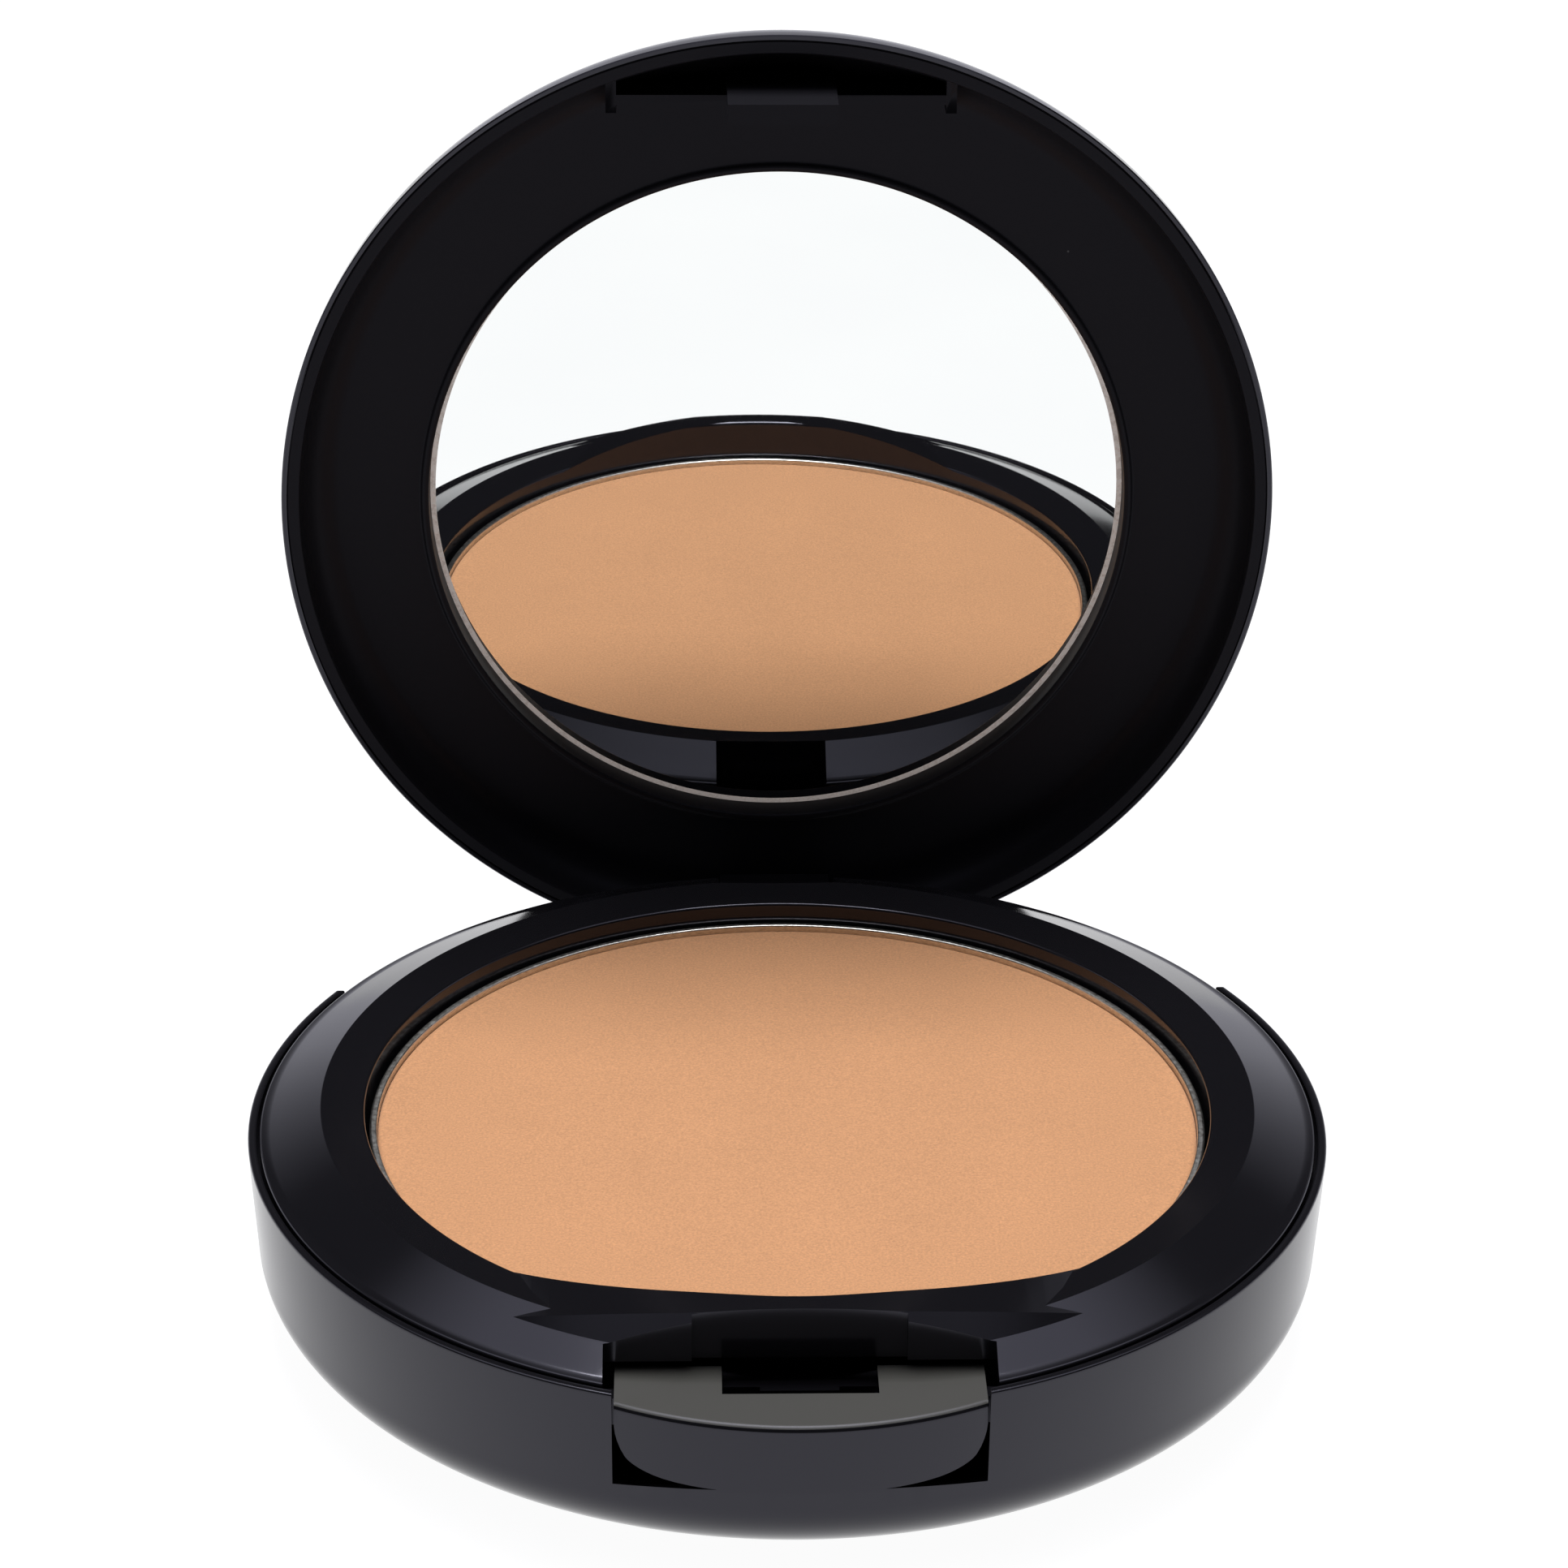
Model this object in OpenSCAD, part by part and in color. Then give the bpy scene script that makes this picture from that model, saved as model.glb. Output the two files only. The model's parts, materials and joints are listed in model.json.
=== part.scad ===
// Round two-tier powder compact: a bowl-shaped case with a sponge compartment,
// a hinged powder tray above it, and a domed lid with a mirror.
// Millimetres. +Z up, front of the compact towards -Y, hinge towards +Y.
// The origin is the centre of the flat foot. The lid is drawn open.

/* [Case] */
// Outer radius of the case at its rim
case_r = 39; // [36:0.5:46]
// Height of the case rim above the foot
rim_z = 14; // [13:0.5:20]
// Wall thickness of the case
case_wall = 1.3; // [1.0:0.1:1.5]
// How far the flat foot stays inside the widest radius
foot_inset = 10; // [7:0.5:14]
// Height of the rounded bottom corner
foot_round = 6; // [4.5:0.25:6]
// Thickness of the thin lip around the tray
lip = 0.6; // [0.5:0.05:0.9]

/* [Tray] */
// Inner radius of the well that holds the pan
well_r = 30.6; // [27:0.2:30.8]
// Wall of the well
well_wall = 0.9; // [0.7:0.1:1.0]
// Depth from the case rim down to the well floor
well_depth = 4.3; // [3.4:0.1:4.8]
// Thickness of the well floor
well_floor = 0.9; // [0.7:0.1:1.2]
// Height of the tray crest above the case rim
crest_rise = 1.8; // [1.2:0.1:2.2]
// Radius of the sharp crest between land and skirt
crest_r = 33.7; // [33:0.1:34.2]
// Height of the front hump above the case rim
hump_rise = 3.5; // [2.4:0.1:3.5]
// Half the length of the front hump
hump_half = 18.5; // [15:0.5:20]

/* [Pan] */
// Thickness of the aluminium sheet
pan_sheet = 0.4; // [0.3:0.05:0.5]
// Gap between the pan rim and the well
pan_gap = 0.3; // [0.15:0.05:0.5]
// Height of the powder above the pan floor
powder_h = 3.35; // [2.4:0.05:3.5]

/* [Lid] */
// Height of the closed lid
lid_h = 11.3; // [11:0.1:14]
// Wall thickness of the dome
lid_wall = 1; // [0.8:0.1:1.2]
// Thickness of the thin lip round the lid frame's flange
lid_lip = 0.4; // [0.3:0.05:0.6]
// Visible radius of the mirror well
mirror_r = 27.6; // [25:0.2:28.4]
// Thickness of the mirror glass
mirror_t = 1.05; // [0.9:0.05:1.2]
// Angle that the lid stands open at rest
lid_open = 88; // [70:1:95]

/* [Hinge] */
// Radius of the hinge pin
pin_r = 0.8; // [0.7:0.05:1.0]
// Radial clearance of the turning knuckles on the pin
pin_gap = 0.05; // [0.02:0.01:0.09]
// Radius of the hinge knuckles
knuckle_r = 1.9; // [1.7:0.05:2.1]
// Half width of the lid's hinge arm
arm_half = 4.5; // [3.5:0.1:5]
// Width of each tray knuckle
tray_knuckle_w = 3.1; // [2.4:0.1:3.6]
// Width of each case ear
ear_w = 3; // [2.4:0.1:3.2]

/* [Latch] */
// Half width of the push button
button_half = 12.1; // [10:0.1:12.5]
// Height of the push button at its front
button_h = 5; // [4.6:0.1:5.4]
// Radius of the button's curved front
button_arc = 27; // [24:0.5:39]
// Travel of the push button
button_travel = 0.75; // [0.6:0.05:0.8]
// Slope of the button's underside and of the pocket's floor, in degrees
pocket_slope = 20; // [0:1:24]
// Half width of the lid hook
hook_half = 4.1; // [3:0.1:4.4]

/* [Sponge] */
// Radius of the sponge
sponge_r = 28; // [24:0.5:28]
// Thickness of the sponge
sponge_t = 6; // [4:0.25:6]

/* [Hidden] */
$fn = 96;
eps = 0.01;
fit = 0.2;                          // side clearance between moving faces

// case
foot_r = case_r - foot_inset;
case_in_r = case_r - case_wall - 0.1;
lip_r = case_r - lip;               // inside of the lip
ledge_z = rim_z - 1.4;              // ledge that the tray rests on
step_y = case_r * 0.477;            // the lip ends here towards the hinge
rear_half = case_r / 2;             // half width of the lowered rear wall
label_r = foot_r - 7;
label_t = 0.15;

// hinge
hinge_y = case_r - 3.5;
hinge_z = rim_z - 5;
notch_half = arm_half + fit;
tray_knuckle_x = notch_half;
ear_x = tray_knuckle_x + tray_knuckle_w + fit;
pin_half = ear_x + ear_w - 0.1;
rear_wall_z = hinge_z - 0.5;
swing_z = hinge_z - 4.7;            // floor of the slot that the lid arm swings through
knuckle_slot_z = hinge_z - knuckle_r - 0.35;

// tray
tray_r = lip_r - 0.22;
well_floor_z = rim_z - well_depth;
tray_under_z = well_floor_z - well_floor;
well_out_r = well_r + well_wall;
land_z = rim_z + crest_rise - 0.5;
crest_z = rim_z + crest_rise;
skirt_edge_z = rim_z + 0.1;
skirt_under_z = rim_z - 0.23;
hump_z = rim_z + hump_rise;
hump_out_r = well_out_r + 1.3;
gate_y = well_out_r + 1.3;          // wall behind the latch cut-out
gate_half = button_half + 0.75;
hook_gate_y = gate_y - 0.4;         // deeper recess that the hook swings through
hook_gate_half = hook_half + 2.95;

// pan
pan_z = well_floor_z + 0.1;
pan_rim_r = well_r - pan_gap;
pan_out_r = pan_rim_r - 0.15;
pan_in_r = pan_out_r - pan_sheet;
pan_rim_z = rim_z - 0.2;
powder_z = pan_z + pan_sheet;

// latch
button_top_z = rim_z - 0.9;
button_front_y = case_r + 0.7;
button_low_z = button_top_z - button_h;     // at the front; the underside slopes down from here
plate_t = 1;
button_skin = 1.2;
bar_rear_y = well_out_r + 0.15 + button_travel;
bar_front_y = bar_rear_y + 0.8;
bar_top_z = button_top_z - plate_t - 0.1;   // low catch bar behind the notch
bar_low_z = bar_top_z - 1;
tongue_y = bar_front_y + 0.45;
tongue_half = 2.6;
blade_rear_y = tongue_y + 0.25;
blade_t = 0.9;
nose_y = tongue_y - 0.4;
nose_z = bar_low_z - 0.1;
hook_low_z = nose_z - 0.6;
button_notch_y = blade_rear_y + blade_t + button_travel + 0.1;
button_notch_half = hook_half + 1;
post_front_y = bar_front_y + 0.7;
post_x = button_half - 3.6;
post_half = 1.7;
post_top_z = bar_low_z - 0.2;      // clear of the bar and its risers
spring_z = button_low_z + 1.5;
spring_r = 1.1;
wire_r = 0.15;
spring_front_y = button_front_y - button_arc + sqrt(pow(button_arc - button_skin, 2) - pow(post_x + spring_r, 2));
tab_x = button_half + 1.2;
tab_front_y = sqrt(pow(case_in_r, 2) - pow(tab_x, 2)) - 0.08;
tab_t = 1.2;
tab_z = button_low_z + 2.3;         // above the drawn-in corners
tab_h = 2;

// lid
lid_r = case_r - 0.1;
lid_z = rim_z + 0.25;
dome_p = 2.6;                       // power of the dome's curve
lid_in_r = lid_r - lid_wall;
frame_r = lid_in_r - 0.05;
flange_r = lid_r - lid_lip - 0.05;  // flange of the frame that covers the dome's wall
flange_t = 0.7;
ring_z = lid_z + 3.7;
cove_w = 2.7;                       // width of the hollow curve between ring and rim
ring_r = frame_r - cove_w - 0.4;
frame_t = 1.1;
mirror_z = lid_z + 5.7;
mirror_shift = 0.4;                 // the mirror sits this much nearer the hinge
glue_t = 0.15;
mirror_back_z = mirror_z + mirror_t + glue_t;
frame_back_z = mirror_back_z + 0.7;
wall_low_z = lid_z + 1.35;          // edge of the low walls round the hook pocket
wall_t = 0.8;
bar_y = gate_y + 1.1;
pocket_half = button_half + 0.3;
pocket_r = frame_r - 1.15;

// sponge
sponge_z = case_wall + 0.05;

// The curve of a rounded corner from (r0 + a, z0) down to (r0, z0 - b)
function corner_down(r0, z0, a, b, n = 12) =
    [for (i = [0:n]) [r0 + a * cos(90 * i / n), z0 - b * sin(90 * i / n)]];

// The dome's curve from its side up to its top
function dome(r, z, h, n = 24) =
    [for (i = [0:n]) let (t = 90 * i / n)
        [r * pow(cos(t), 2 / dome_p), z + h * pow(sin(t), 2 / dome_p)]];

module turn_open() {
    translate([0, hinge_y, hinge_z])
        rotate([-lid_open, 0, 0])
            translate([0, -hinge_y, -hinge_z])
                children();
}

// A box from its low corner to its high corner
module block(low, high) {
    translate(low)
        cube(high - low);
}

module disc(r, z_low, z_high) {
    translate([0, 0, z_low])
        cylinder(r = r, h = z_high - z_low);
}

// A cylinder along X, centred on x = 0, on the hinge axis
module on_axis(r, half) {
    translate([-half, hinge_y, hinge_z])
        rotate([0, 90, 0])
            cylinder(r = r, h = 2 * half);
}

// A solid of revolution from its profile
module turned(points) {
    rotate_extrude()
        polygon(points);
}

// ---------------------------------------------------------------- case

// The case's outside as a solid
module case_outside() {
    turned(concat(
        [[0, 0], [foot_r, 0]],
        [for (i = [12:-1:0]) corner_down(foot_r, foot_round, foot_inset - 0.4, foot_round)[i]],
        [[case_r, rim_z - 0.15], [case_r - 0.15, rim_z], [0, rim_z]]));
}

module case_bowl() {
    inner_a = case_in_r - foot_r;
    difference() {
        case_outside();
        turned(concat(
            [[0, case_wall]],
            [for (i = [12:-1:0]) corner_down(foot_r, foot_round, inner_a, foot_round - case_wall)[i]],
            [[case_in_r, ledge_z], [lip_r, ledge_z], [lip_r, rim_z + 1], [0, rim_z + 1]]));
    }
}

// The two ears that hold the pin, each on a rib down to the bottom of the case
module case_ears() {
    for (side = [-1, 1])
        intersection() {
            union() {
                on_axis(knuckle_r, pin_half + 0.1);
                block([-pin_half - 0.1, hinge_y - knuckle_r, 0], [pin_half + 0.1, case_r, hinge_z - 0.5]);
            }
            block([min(side * ear_x, side * (ear_x + ear_w)), 0, 0],
                  [max(side * ear_x, side * (ear_x + ear_w)), 2 * case_r, rim_z]);
        }
}

module spring_posts() {
    for (side = [-1, 1])
        block([side * post_x - post_half, -post_front_y, 0],
              [side * post_x + post_half, -post_front_y + 1.5, post_top_z]);
}

// All that lies above the sloping floor of the button's pocket, out to a half width.
// The floor is level with low_z under the button's front.
module above_floor(half, low_z, high_z) {
    reach = button_front_y;
    translate([-half, 0, 0])
        rotate([90, 0, 90])
            linear_extrude(height = 2 * half)
                polygon([[-reach - 10, low_z + 10 * tan(pocket_slope)],
                         [-case_r * 0.7, low_z - (reach - case_r * 0.7) * tan(pocket_slope)],
                         [-case_r * 0.7, high_z], [-reach - 10, high_z]]);
}

module lower_case() {
    color("#2b2b31")
    difference() {
        union() {
            difference() {
                case_bowl();
                // lip stops before the hinge
                block([-2 * case_r, step_y, ledge_z], [2 * case_r, 2 * case_r, rim_z + 1]);
                // lowered wall behind the hinge
                block([-rear_half, 0, rear_wall_z], [rear_half, 2 * case_r, rim_z + 1]);
                above_floor(button_half + 0.15, button_low_z - 0.1, rim_z + 1);
            }
            intersection() {
                union() {
                    case_ears();
                    spring_posts();
                }
                union() {
                    case_outside();
                    on_axis(knuckle_r, pin_half + 0.1);
                }
            }
        }
        // room between the ears, and the slot that the lid arm swings through
        block([-ear_x, hinge_y - knuckle_r - 0.35, knuckle_slot_z], [ear_x, 2 * case_r, rim_z]);
        block([-notch_half, hinge_y - knuckle_r - 0.35, swing_z], [notch_half, 2 * case_r, rim_z]);
        on_axis(pin_r, pin_half + 5);
        // shallow seat for the label
        disc(label_r + 0.1, -1, label_t);
    }
}

module base_label() {
    color("#c9c9cc")
    disc(label_r, 0.02, label_t);
}

// ---------------------------------------------------------------- latch

// Front outline of the button in X and Z, with its lower corners drawn in.
// Each corner point is how far in from the side, and how far up from the underside.
module button_face() {
    corner = [[0, 3.4], [0.2, 2.3], [0.7, 1.25], [1.2, 0.85], [2, 0.5], [3.1, 0.22], [4.9, 0.05], [6.6, 0]];
    deep = (button_front_y - bar_rear_y) * tan(pocket_slope);
    polygon(concat(
        [[button_half, button_top_z]],
        [for (c = corner) [button_half - c[0], button_low_z + c[1]]],
        [[button_half - 6.6, button_low_z - deep], [6.6 - button_half, button_low_z - deep]],
        [for (i = [len(corner) - 1:-1:0]) [corner[i][0] - button_half, button_low_z + corner[i][1]]],
        [[-button_half, button_top_z]]));
}

module push_button() {
    color("#55544f")
    difference() {
        union() {
            intersection() {
                translate([0, -bar_rear_y, 0])
                    rotate([90, 0, 0])
                        linear_extrude(height = case_r)
                            button_face();
                union() {
                    translate([0, button_arc - button_front_y, 0])
                        difference() {
                            cylinder(r = button_arc, h = 2 * rim_z);
                            translate([0, 0, -1])
                                cylinder(r = button_arc - button_skin, h = button_top_z - plate_t + 1);
                        }
                    // side arms
                    for (side = [0, 1])
                        mirror([side, 0, 0])
                            block([button_half - 1.2, -tab_front_y - 1.4, button_low_z],
                                  [button_half + 1, -tab_front_y + tab_t, button_top_z - eps]);
                }
                above_floor(case_r, button_low_z, 2 * rim_z);
            }
            // tabs that keep the button in
            for (side = [0, 1])
                mirror([side, 0, 0])
                    block([button_half - 1.2, -tab_front_y, tab_z], [tab_x, -tab_front_y + tab_t, tab_z + tab_h]);
        }
        block([-button_notch_half, -button_notch_y, bar_low_z], [button_notch_half, 0, button_top_z + 1]);
    }
    // low catch bar across the back of the notch, its two risers, and the tongue
    color("#55544f") {
        for (side = [0, 1])
            mirror([side, 0, 0])
                block([button_notch_half, -bar_front_y, bar_low_z],
                      [button_notch_half + 1.4, -bar_rear_y, button_top_z - eps]);
        block([-button_notch_half - eps, -bar_front_y, bar_low_z], [button_notch_half + eps, -bar_rear_y, bar_top_z]);
        block([-tongue_half, -tongue_y, bar_low_z], [tongue_half, -bar_front_y + eps, bar_top_z]);
    }
}

// A coil spring along Y, closed by one flat ring at each end
module coil(x, turns = 3) {
    steps = 12 * turns;
    sides = 6;
    length = spring_front_y - post_front_y - 2 * wire_r;
    ring = [for (i = [0:steps]) let (a = 30 * i)
        for (k = [0:sides - 1]) let (b = 360 * k / sides, r = spring_r - wire_r + wire_r * cos(b))
            [r * cos(a), r * sin(a), length * i / steps + wire_r * sin(b)]];
    walls = [for (i = [0:steps - 1]) for (k = [0:sides - 1]) let (m = (k + 1) % sides)
        [i * sides + k, i * sides + m, (i + 1) * sides + m, (i + 1) * sides + k]];
    translate([x, -post_front_y - wire_r, spring_z])
        rotate([90, 0, 0])
            polyhedron(ring, concat(walls,
                [[for (k = [sides - 1:-1:0]) k]],
                [[for (k = [0:sides - 1]) steps * sides + k]]));
}

module button_spring_left() {
    color("silver")
    coil(-post_x);
}

module button_spring_right() {
    color("silver")
    coil(post_x);
}

// ---------------------------------------------------------------- hinge and sponge

module hinge_pin() {
    color("silver")
    on_axis(pin_r, pin_half);
}

module sponge() {
    color("#d9b08c")
    turned(concat(
        [[0, sponge_z]],
        [[sponge_r - 1.5, sponge_z]],
        [[sponge_r, sponge_z + 1.5], [sponge_r, sponge_z + sponge_t - 1.2],
         [sponge_r - 1.2, sponge_z + sponge_t], [0, sponge_z + sponge_t]]));
}

// ---------------------------------------------------------------- tray

module tray_ring() {
    difference() {
        turned([
            [0, tray_under_z], [well_out_r, tray_under_z], [well_out_r, skirt_under_z],
            [tray_r - 3, skirt_under_z], [tray_r - 1.3, ledge_z + 0.4], [tray_r - 1.3, ledge_z + 0.05],
            [tray_r - 0.1, ledge_z + 0.05], [tray_r, ledge_z + 0.2], [tray_r, skirt_edge_z - 0.15],
            [tray_r - 0.2, skirt_edge_z], [tray_r - 0.7, skirt_edge_z + 0.1],
            [crest_r + 0.1, crest_z - 0.03], [crest_r - 0.1, crest_z],
            [well_r + 0.2, land_z], [0, land_z]]);
        turned([[0, well_floor_z], [well_r, well_floor_z], [well_r, land_z - 0.2],
                [well_r + 0.2, land_z + eps], [0, land_z + 1]]);
    }
}

// The front hump: a raised arch on the land, with a sloping front
module tray_hump() {
    arch_drop = hump_z - land_z;
    arch_r = (hump_half * hump_half + arch_drop * arch_drop) / (2 * arch_drop);
    intersection() {
        turned([
            [well_r, skirt_under_z], [hump_out_r + 5, skirt_under_z], [hump_out_r + 2.3, crest_z - 0.6],
            [hump_out_r, hump_z], [well_r + 0.2, hump_z], [well_r, hump_z - 0.2]]);
        translate([0, 0, hump_z - arch_r])
            rotate([90, 0, 0])
                cylinder(r = arch_r, h = 2 * case_r, $fn = 360);
    }
}

module powder_tray() {
    color("#26262b")
    difference() {
        union() {
            tray_ring();
            tray_hump();
            // hinge knuckles with their webs
            for (side = [0, 1])
                mirror([side, 0, 0])
                    intersection() {
                        union() {
                            on_axis(knuckle_r, ear_x);
                            block([0, hinge_y - knuckle_r, hinge_z], [ear_x, hinge_y + knuckle_r - 0.6, skirt_under_z + 0.4]);
                        }
                        block([tray_knuckle_x, 0, 0], [tray_knuckle_x + tray_knuckle_w, 2 * case_r, rim_z]);
                    }
        }
        // cut-out over the latch, and the deeper recess for the hook
        block([-gate_half, -2 * case_r, 0], [gate_half, -gate_y, 2 * rim_z]);
        block([-hook_gate_half, -2 * case_r, 0], [hook_gate_half, -hook_gate_y, 2 * rim_z]);
        // slot for the lid's hinge arm
        block([-notch_half, hinge_y - knuckle_r - 0.2, 0], [notch_half, 2 * case_r, 2 * rim_z]);
        on_axis(pin_r + pin_gap, case_r);
    }
}

module pan() {
    color("#c8c8c6")
    difference() {
        turned([
            [0, pan_z], [pan_out_r - 0.6, pan_z], [pan_out_r, pan_z + 0.6], [pan_out_r, pan_rim_z - 0.45],
            [pan_rim_r, pan_rim_z - 0.35], [pan_rim_r, pan_rim_z - 0.12], [pan_rim_r - 0.12, pan_rim_z],
            [0, pan_rim_z]]);
        turned([
            [0, powder_z], [pan_in_r - 0.5, powder_z], [pan_in_r, powder_z + 0.5],
            [pan_in_r, pan_rim_z - 0.15], [pan_in_r + 0.15, pan_rim_z + eps], [0, pan_rim_z + eps]]);
    }
}

module pan_adhesive() {
    color("#8f8f86")
    disc(pan_out_r * 0.5, well_floor_z, pan_z);
}

module powder_cake() {
    color("#d9a276")
    turned([
        [0, powder_z], [pan_in_r - 0.5, powder_z], [pan_in_r, powder_z + 0.5],
        [pan_in_r, powder_z + powder_h - 0.45], [pan_in_r - 0.35, powder_z + powder_h - 0.2],
        [pan_in_r - 1.6, powder_z + powder_h], [0, powder_z + powder_h]]);
}

// ---------------------------------------------------------------- lid, drawn closed and then turned open

module lid_shell() {
    color("#222226")
    turn_open()
        difference() {
            turned(concat([[0, lid_z]], dome(lid_r, lid_z, lid_h)));
            turned(concat([[0, lid_z - 1], [lid_in_r, lid_z - 1]], dome(lid_in_r, lid_z, lid_h - lid_wall)));
            disc(lid_r - lid_lip, lid_z - 1, lid_z + flange_t + 0.1);
        }
}

module frame_ring() {
    cove = [for (i = [0:8]) let (t = 90 * i / 8)
        [ring_r + cove_w * sin(t), ring_z - (ring_z - lid_z - 0.25) * (1 - cos(t))]];
    turned(concat(
        [[0, frame_back_z], [0, ring_z], [mirror_r + 0.9, ring_z]],
        cove,
        [[frame_r - 0.3, lid_z + 0.05], [flange_r, lid_z + 0.05], [flange_r, lid_z + flange_t],
         [frame_r - 0.1, lid_z + flange_t], [frame_r - 0.95, ring_z - 0.4],
         [ring_r + 0.5, ring_z + frame_t], [mirror_r + 2, ring_z + frame_t],
         [mirror_r + 2, frame_back_z - 0.4], [mirror_r + 1.6, frame_back_z]]));
}

module mirror_bead() {
    translate([0, mirror_shift, 0])
        turned([[mirror_r, ring_z + 0.1], [mirror_r, ring_z - 0.2], [mirror_r + 0.1, ring_z - 0.3],
                [mirror_r + 0.45, ring_z - 0.3], [mirror_r + 0.6, ring_z - 0.15], [mirror_r + 0.6, ring_z + 0.1]]);
}

// The room inside the dome
module dome_room() {
    disc(flange_r, 0, lid_z + flange_t);
    turned(concat([[0, 0], [frame_r, 0]], dome(frame_r, lid_z, lid_h - lid_wall - 0.05)));
}

// Low walls round the hook pocket, the hook, and its nose
module hook_pocket() {
    intersection() {
        for (side = [0, 1])
            mirror([side, 0, 0])
                block([pocket_half, -frame_r, wall_low_z], [pocket_half + wall_t, -bar_y + 1.4, ring_z + eps]);
        dome_room();
    }
    block([-pocket_half - eps, -bar_y, wall_low_z], [pocket_half + eps, -bar_y + wall_t - 0.05, ring_z + eps]);
    translate([-hook_half, 0, 0])
        rotate([90, 0, 90])
            linear_extrude(height = 2 * hook_half)
                polygon([
                    [-blade_rear_y - blade_t, ring_z + 0.5], [-blade_rear_y - blade_t, hook_low_z + 0.2],
                    [-blade_rear_y - blade_t + 0.2, hook_low_z], [-nose_y - 0.35, hook_low_z],
                    [-nose_y, hook_low_z + 0.35], [-nose_y, nose_z],
                    [-blade_rear_y, nose_z], [-blade_rear_y, ring_z + 0.5]]);
}

module hinge_arm() {
    intersection() {
        union() {
            on_axis(knuckle_r, arm_half);
            block([-arm_half, hinge_y - knuckle_r + 0.1, hinge_z], [arm_half, hinge_y + knuckle_r - 0.1, ring_z + eps]);
        }
        dome_room();
    }
}

module lid_frame() {
    color("#1c1c20")
    turn_open()
        difference() {
            union() {
                frame_ring();
                mirror_bead();
                hook_pocket();
                hinge_arm();
            }
            // well for the mirror
            translate([0, mirror_shift, 0])
                disc(mirror_r, 0, mirror_back_z);
            translate([0, mirror_shift, 0])
                disc(mirror_r + 0.3, mirror_z, mirror_back_z);
            // the hook pocket goes right through, but for the hook's root
            difference() {
                intersection() {
                    block([-pocket_half, -case_r, 0], [pocket_half, -bar_y, ring_z + 3]);
                    disc(pocket_r, 0, 2 * rim_z);
                }
                block([-hook_half, -blade_rear_y - blade_t, 0], [hook_half, 0, 2 * lid_z]);
            }
            on_axis(pin_r + pin_gap, case_r);
        }
}

module mirror_plate() {
    color("#e9eef0")
    turn_open()
        translate([0, mirror_shift, 0])
            turned([[0, mirror_z], [mirror_r - 0.15, mirror_z], [mirror_r + 0.1, mirror_z + 0.25],
                    [mirror_r + 0.1, mirror_z + mirror_t], [0, mirror_z + mirror_t]]);
}

module mirror_adhesive() {
    color("#b9b9b0")
    turn_open()
        translate([0, mirror_shift, 0])
            disc(mirror_r - 2, mirror_z + mirror_t, mirror_back_z);
}

lower_case();
base_label();
push_button();
button_spring_left();
button_spring_right();
hinge_pin();
sponge();
powder_tray();
pan();
pan_adhesive();
powder_cake();
lid_shell();
lid_frame();
mirror_plate();  // mirror
mirror_adhesive();
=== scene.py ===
import json
from math import cos, pi, radians, sin, tan

import bpy
from bpy.props import FloatProperty, FloatVectorProperty, IntProperty, PointerProperty
from mathutils import Matrix, Vector


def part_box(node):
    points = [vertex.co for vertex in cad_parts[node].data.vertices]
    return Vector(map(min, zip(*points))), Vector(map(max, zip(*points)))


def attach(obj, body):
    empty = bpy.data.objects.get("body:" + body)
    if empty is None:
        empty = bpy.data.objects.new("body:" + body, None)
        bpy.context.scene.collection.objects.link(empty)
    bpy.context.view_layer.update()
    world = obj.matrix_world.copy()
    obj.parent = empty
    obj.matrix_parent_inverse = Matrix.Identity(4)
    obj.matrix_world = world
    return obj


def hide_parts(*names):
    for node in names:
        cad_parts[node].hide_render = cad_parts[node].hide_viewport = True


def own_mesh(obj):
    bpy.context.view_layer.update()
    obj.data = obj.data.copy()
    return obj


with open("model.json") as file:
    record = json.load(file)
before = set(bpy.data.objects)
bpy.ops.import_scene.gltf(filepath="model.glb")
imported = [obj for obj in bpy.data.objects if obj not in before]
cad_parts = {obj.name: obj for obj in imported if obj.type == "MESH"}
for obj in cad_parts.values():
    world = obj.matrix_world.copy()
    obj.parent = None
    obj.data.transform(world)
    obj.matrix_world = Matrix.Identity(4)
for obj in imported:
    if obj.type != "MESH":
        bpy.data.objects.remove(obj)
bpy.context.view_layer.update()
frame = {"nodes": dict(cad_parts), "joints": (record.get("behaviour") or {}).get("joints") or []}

MM = 0.001

bl_info = {
    "name": "Powder Compact",
    "version": (1, 0, 0),
    "blender": (4, 5, 0),
    "location": "View3D > Sidebar > Compact",
    "description": "Models a two-tier powder compact around its packed frame",
    "category": "Object",
}

# ------------------------------------------------------------------ places taken from the frame

HINGE = Vector(next(j for j in frame["joints"] if j["name"] == "lid_hinge")["pos_m"])
LID_OPEN = radians(-next(j for j in frame["joints"] if j["name"] == "lid_hinge")["range_deg"][0])
RIM_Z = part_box("lower_case")[1].z
CASE_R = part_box("lower_case")[1].x
TRAY_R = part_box("powder_tray")[1].x
TRAY_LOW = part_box("powder_tray")[0].z
HUMP_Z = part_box("powder_tray")[1].z
PAN_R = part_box("pan")[1].x
PAN_LOW, PAN_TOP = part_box("pan")[0].z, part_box("pan")[1].z
POWDER_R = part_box("powder_cake")[1].x
POWDER_LOW, POWDER_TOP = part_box("powder_cake")[0].z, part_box("powder_cake")[1].z
BUTTON_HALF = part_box("push_button")[1].x - 1.2 * MM
BUTTON_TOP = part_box("push_button")[1].z
BUTTON_LOW = BUTTON_TOP - 5 * MM
BUTTON_FRONT = -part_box("push_button")[0].y
LID_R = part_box("lid_shell")[1].x
LID_FRAME_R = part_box("lid_frame")[1].x
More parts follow.
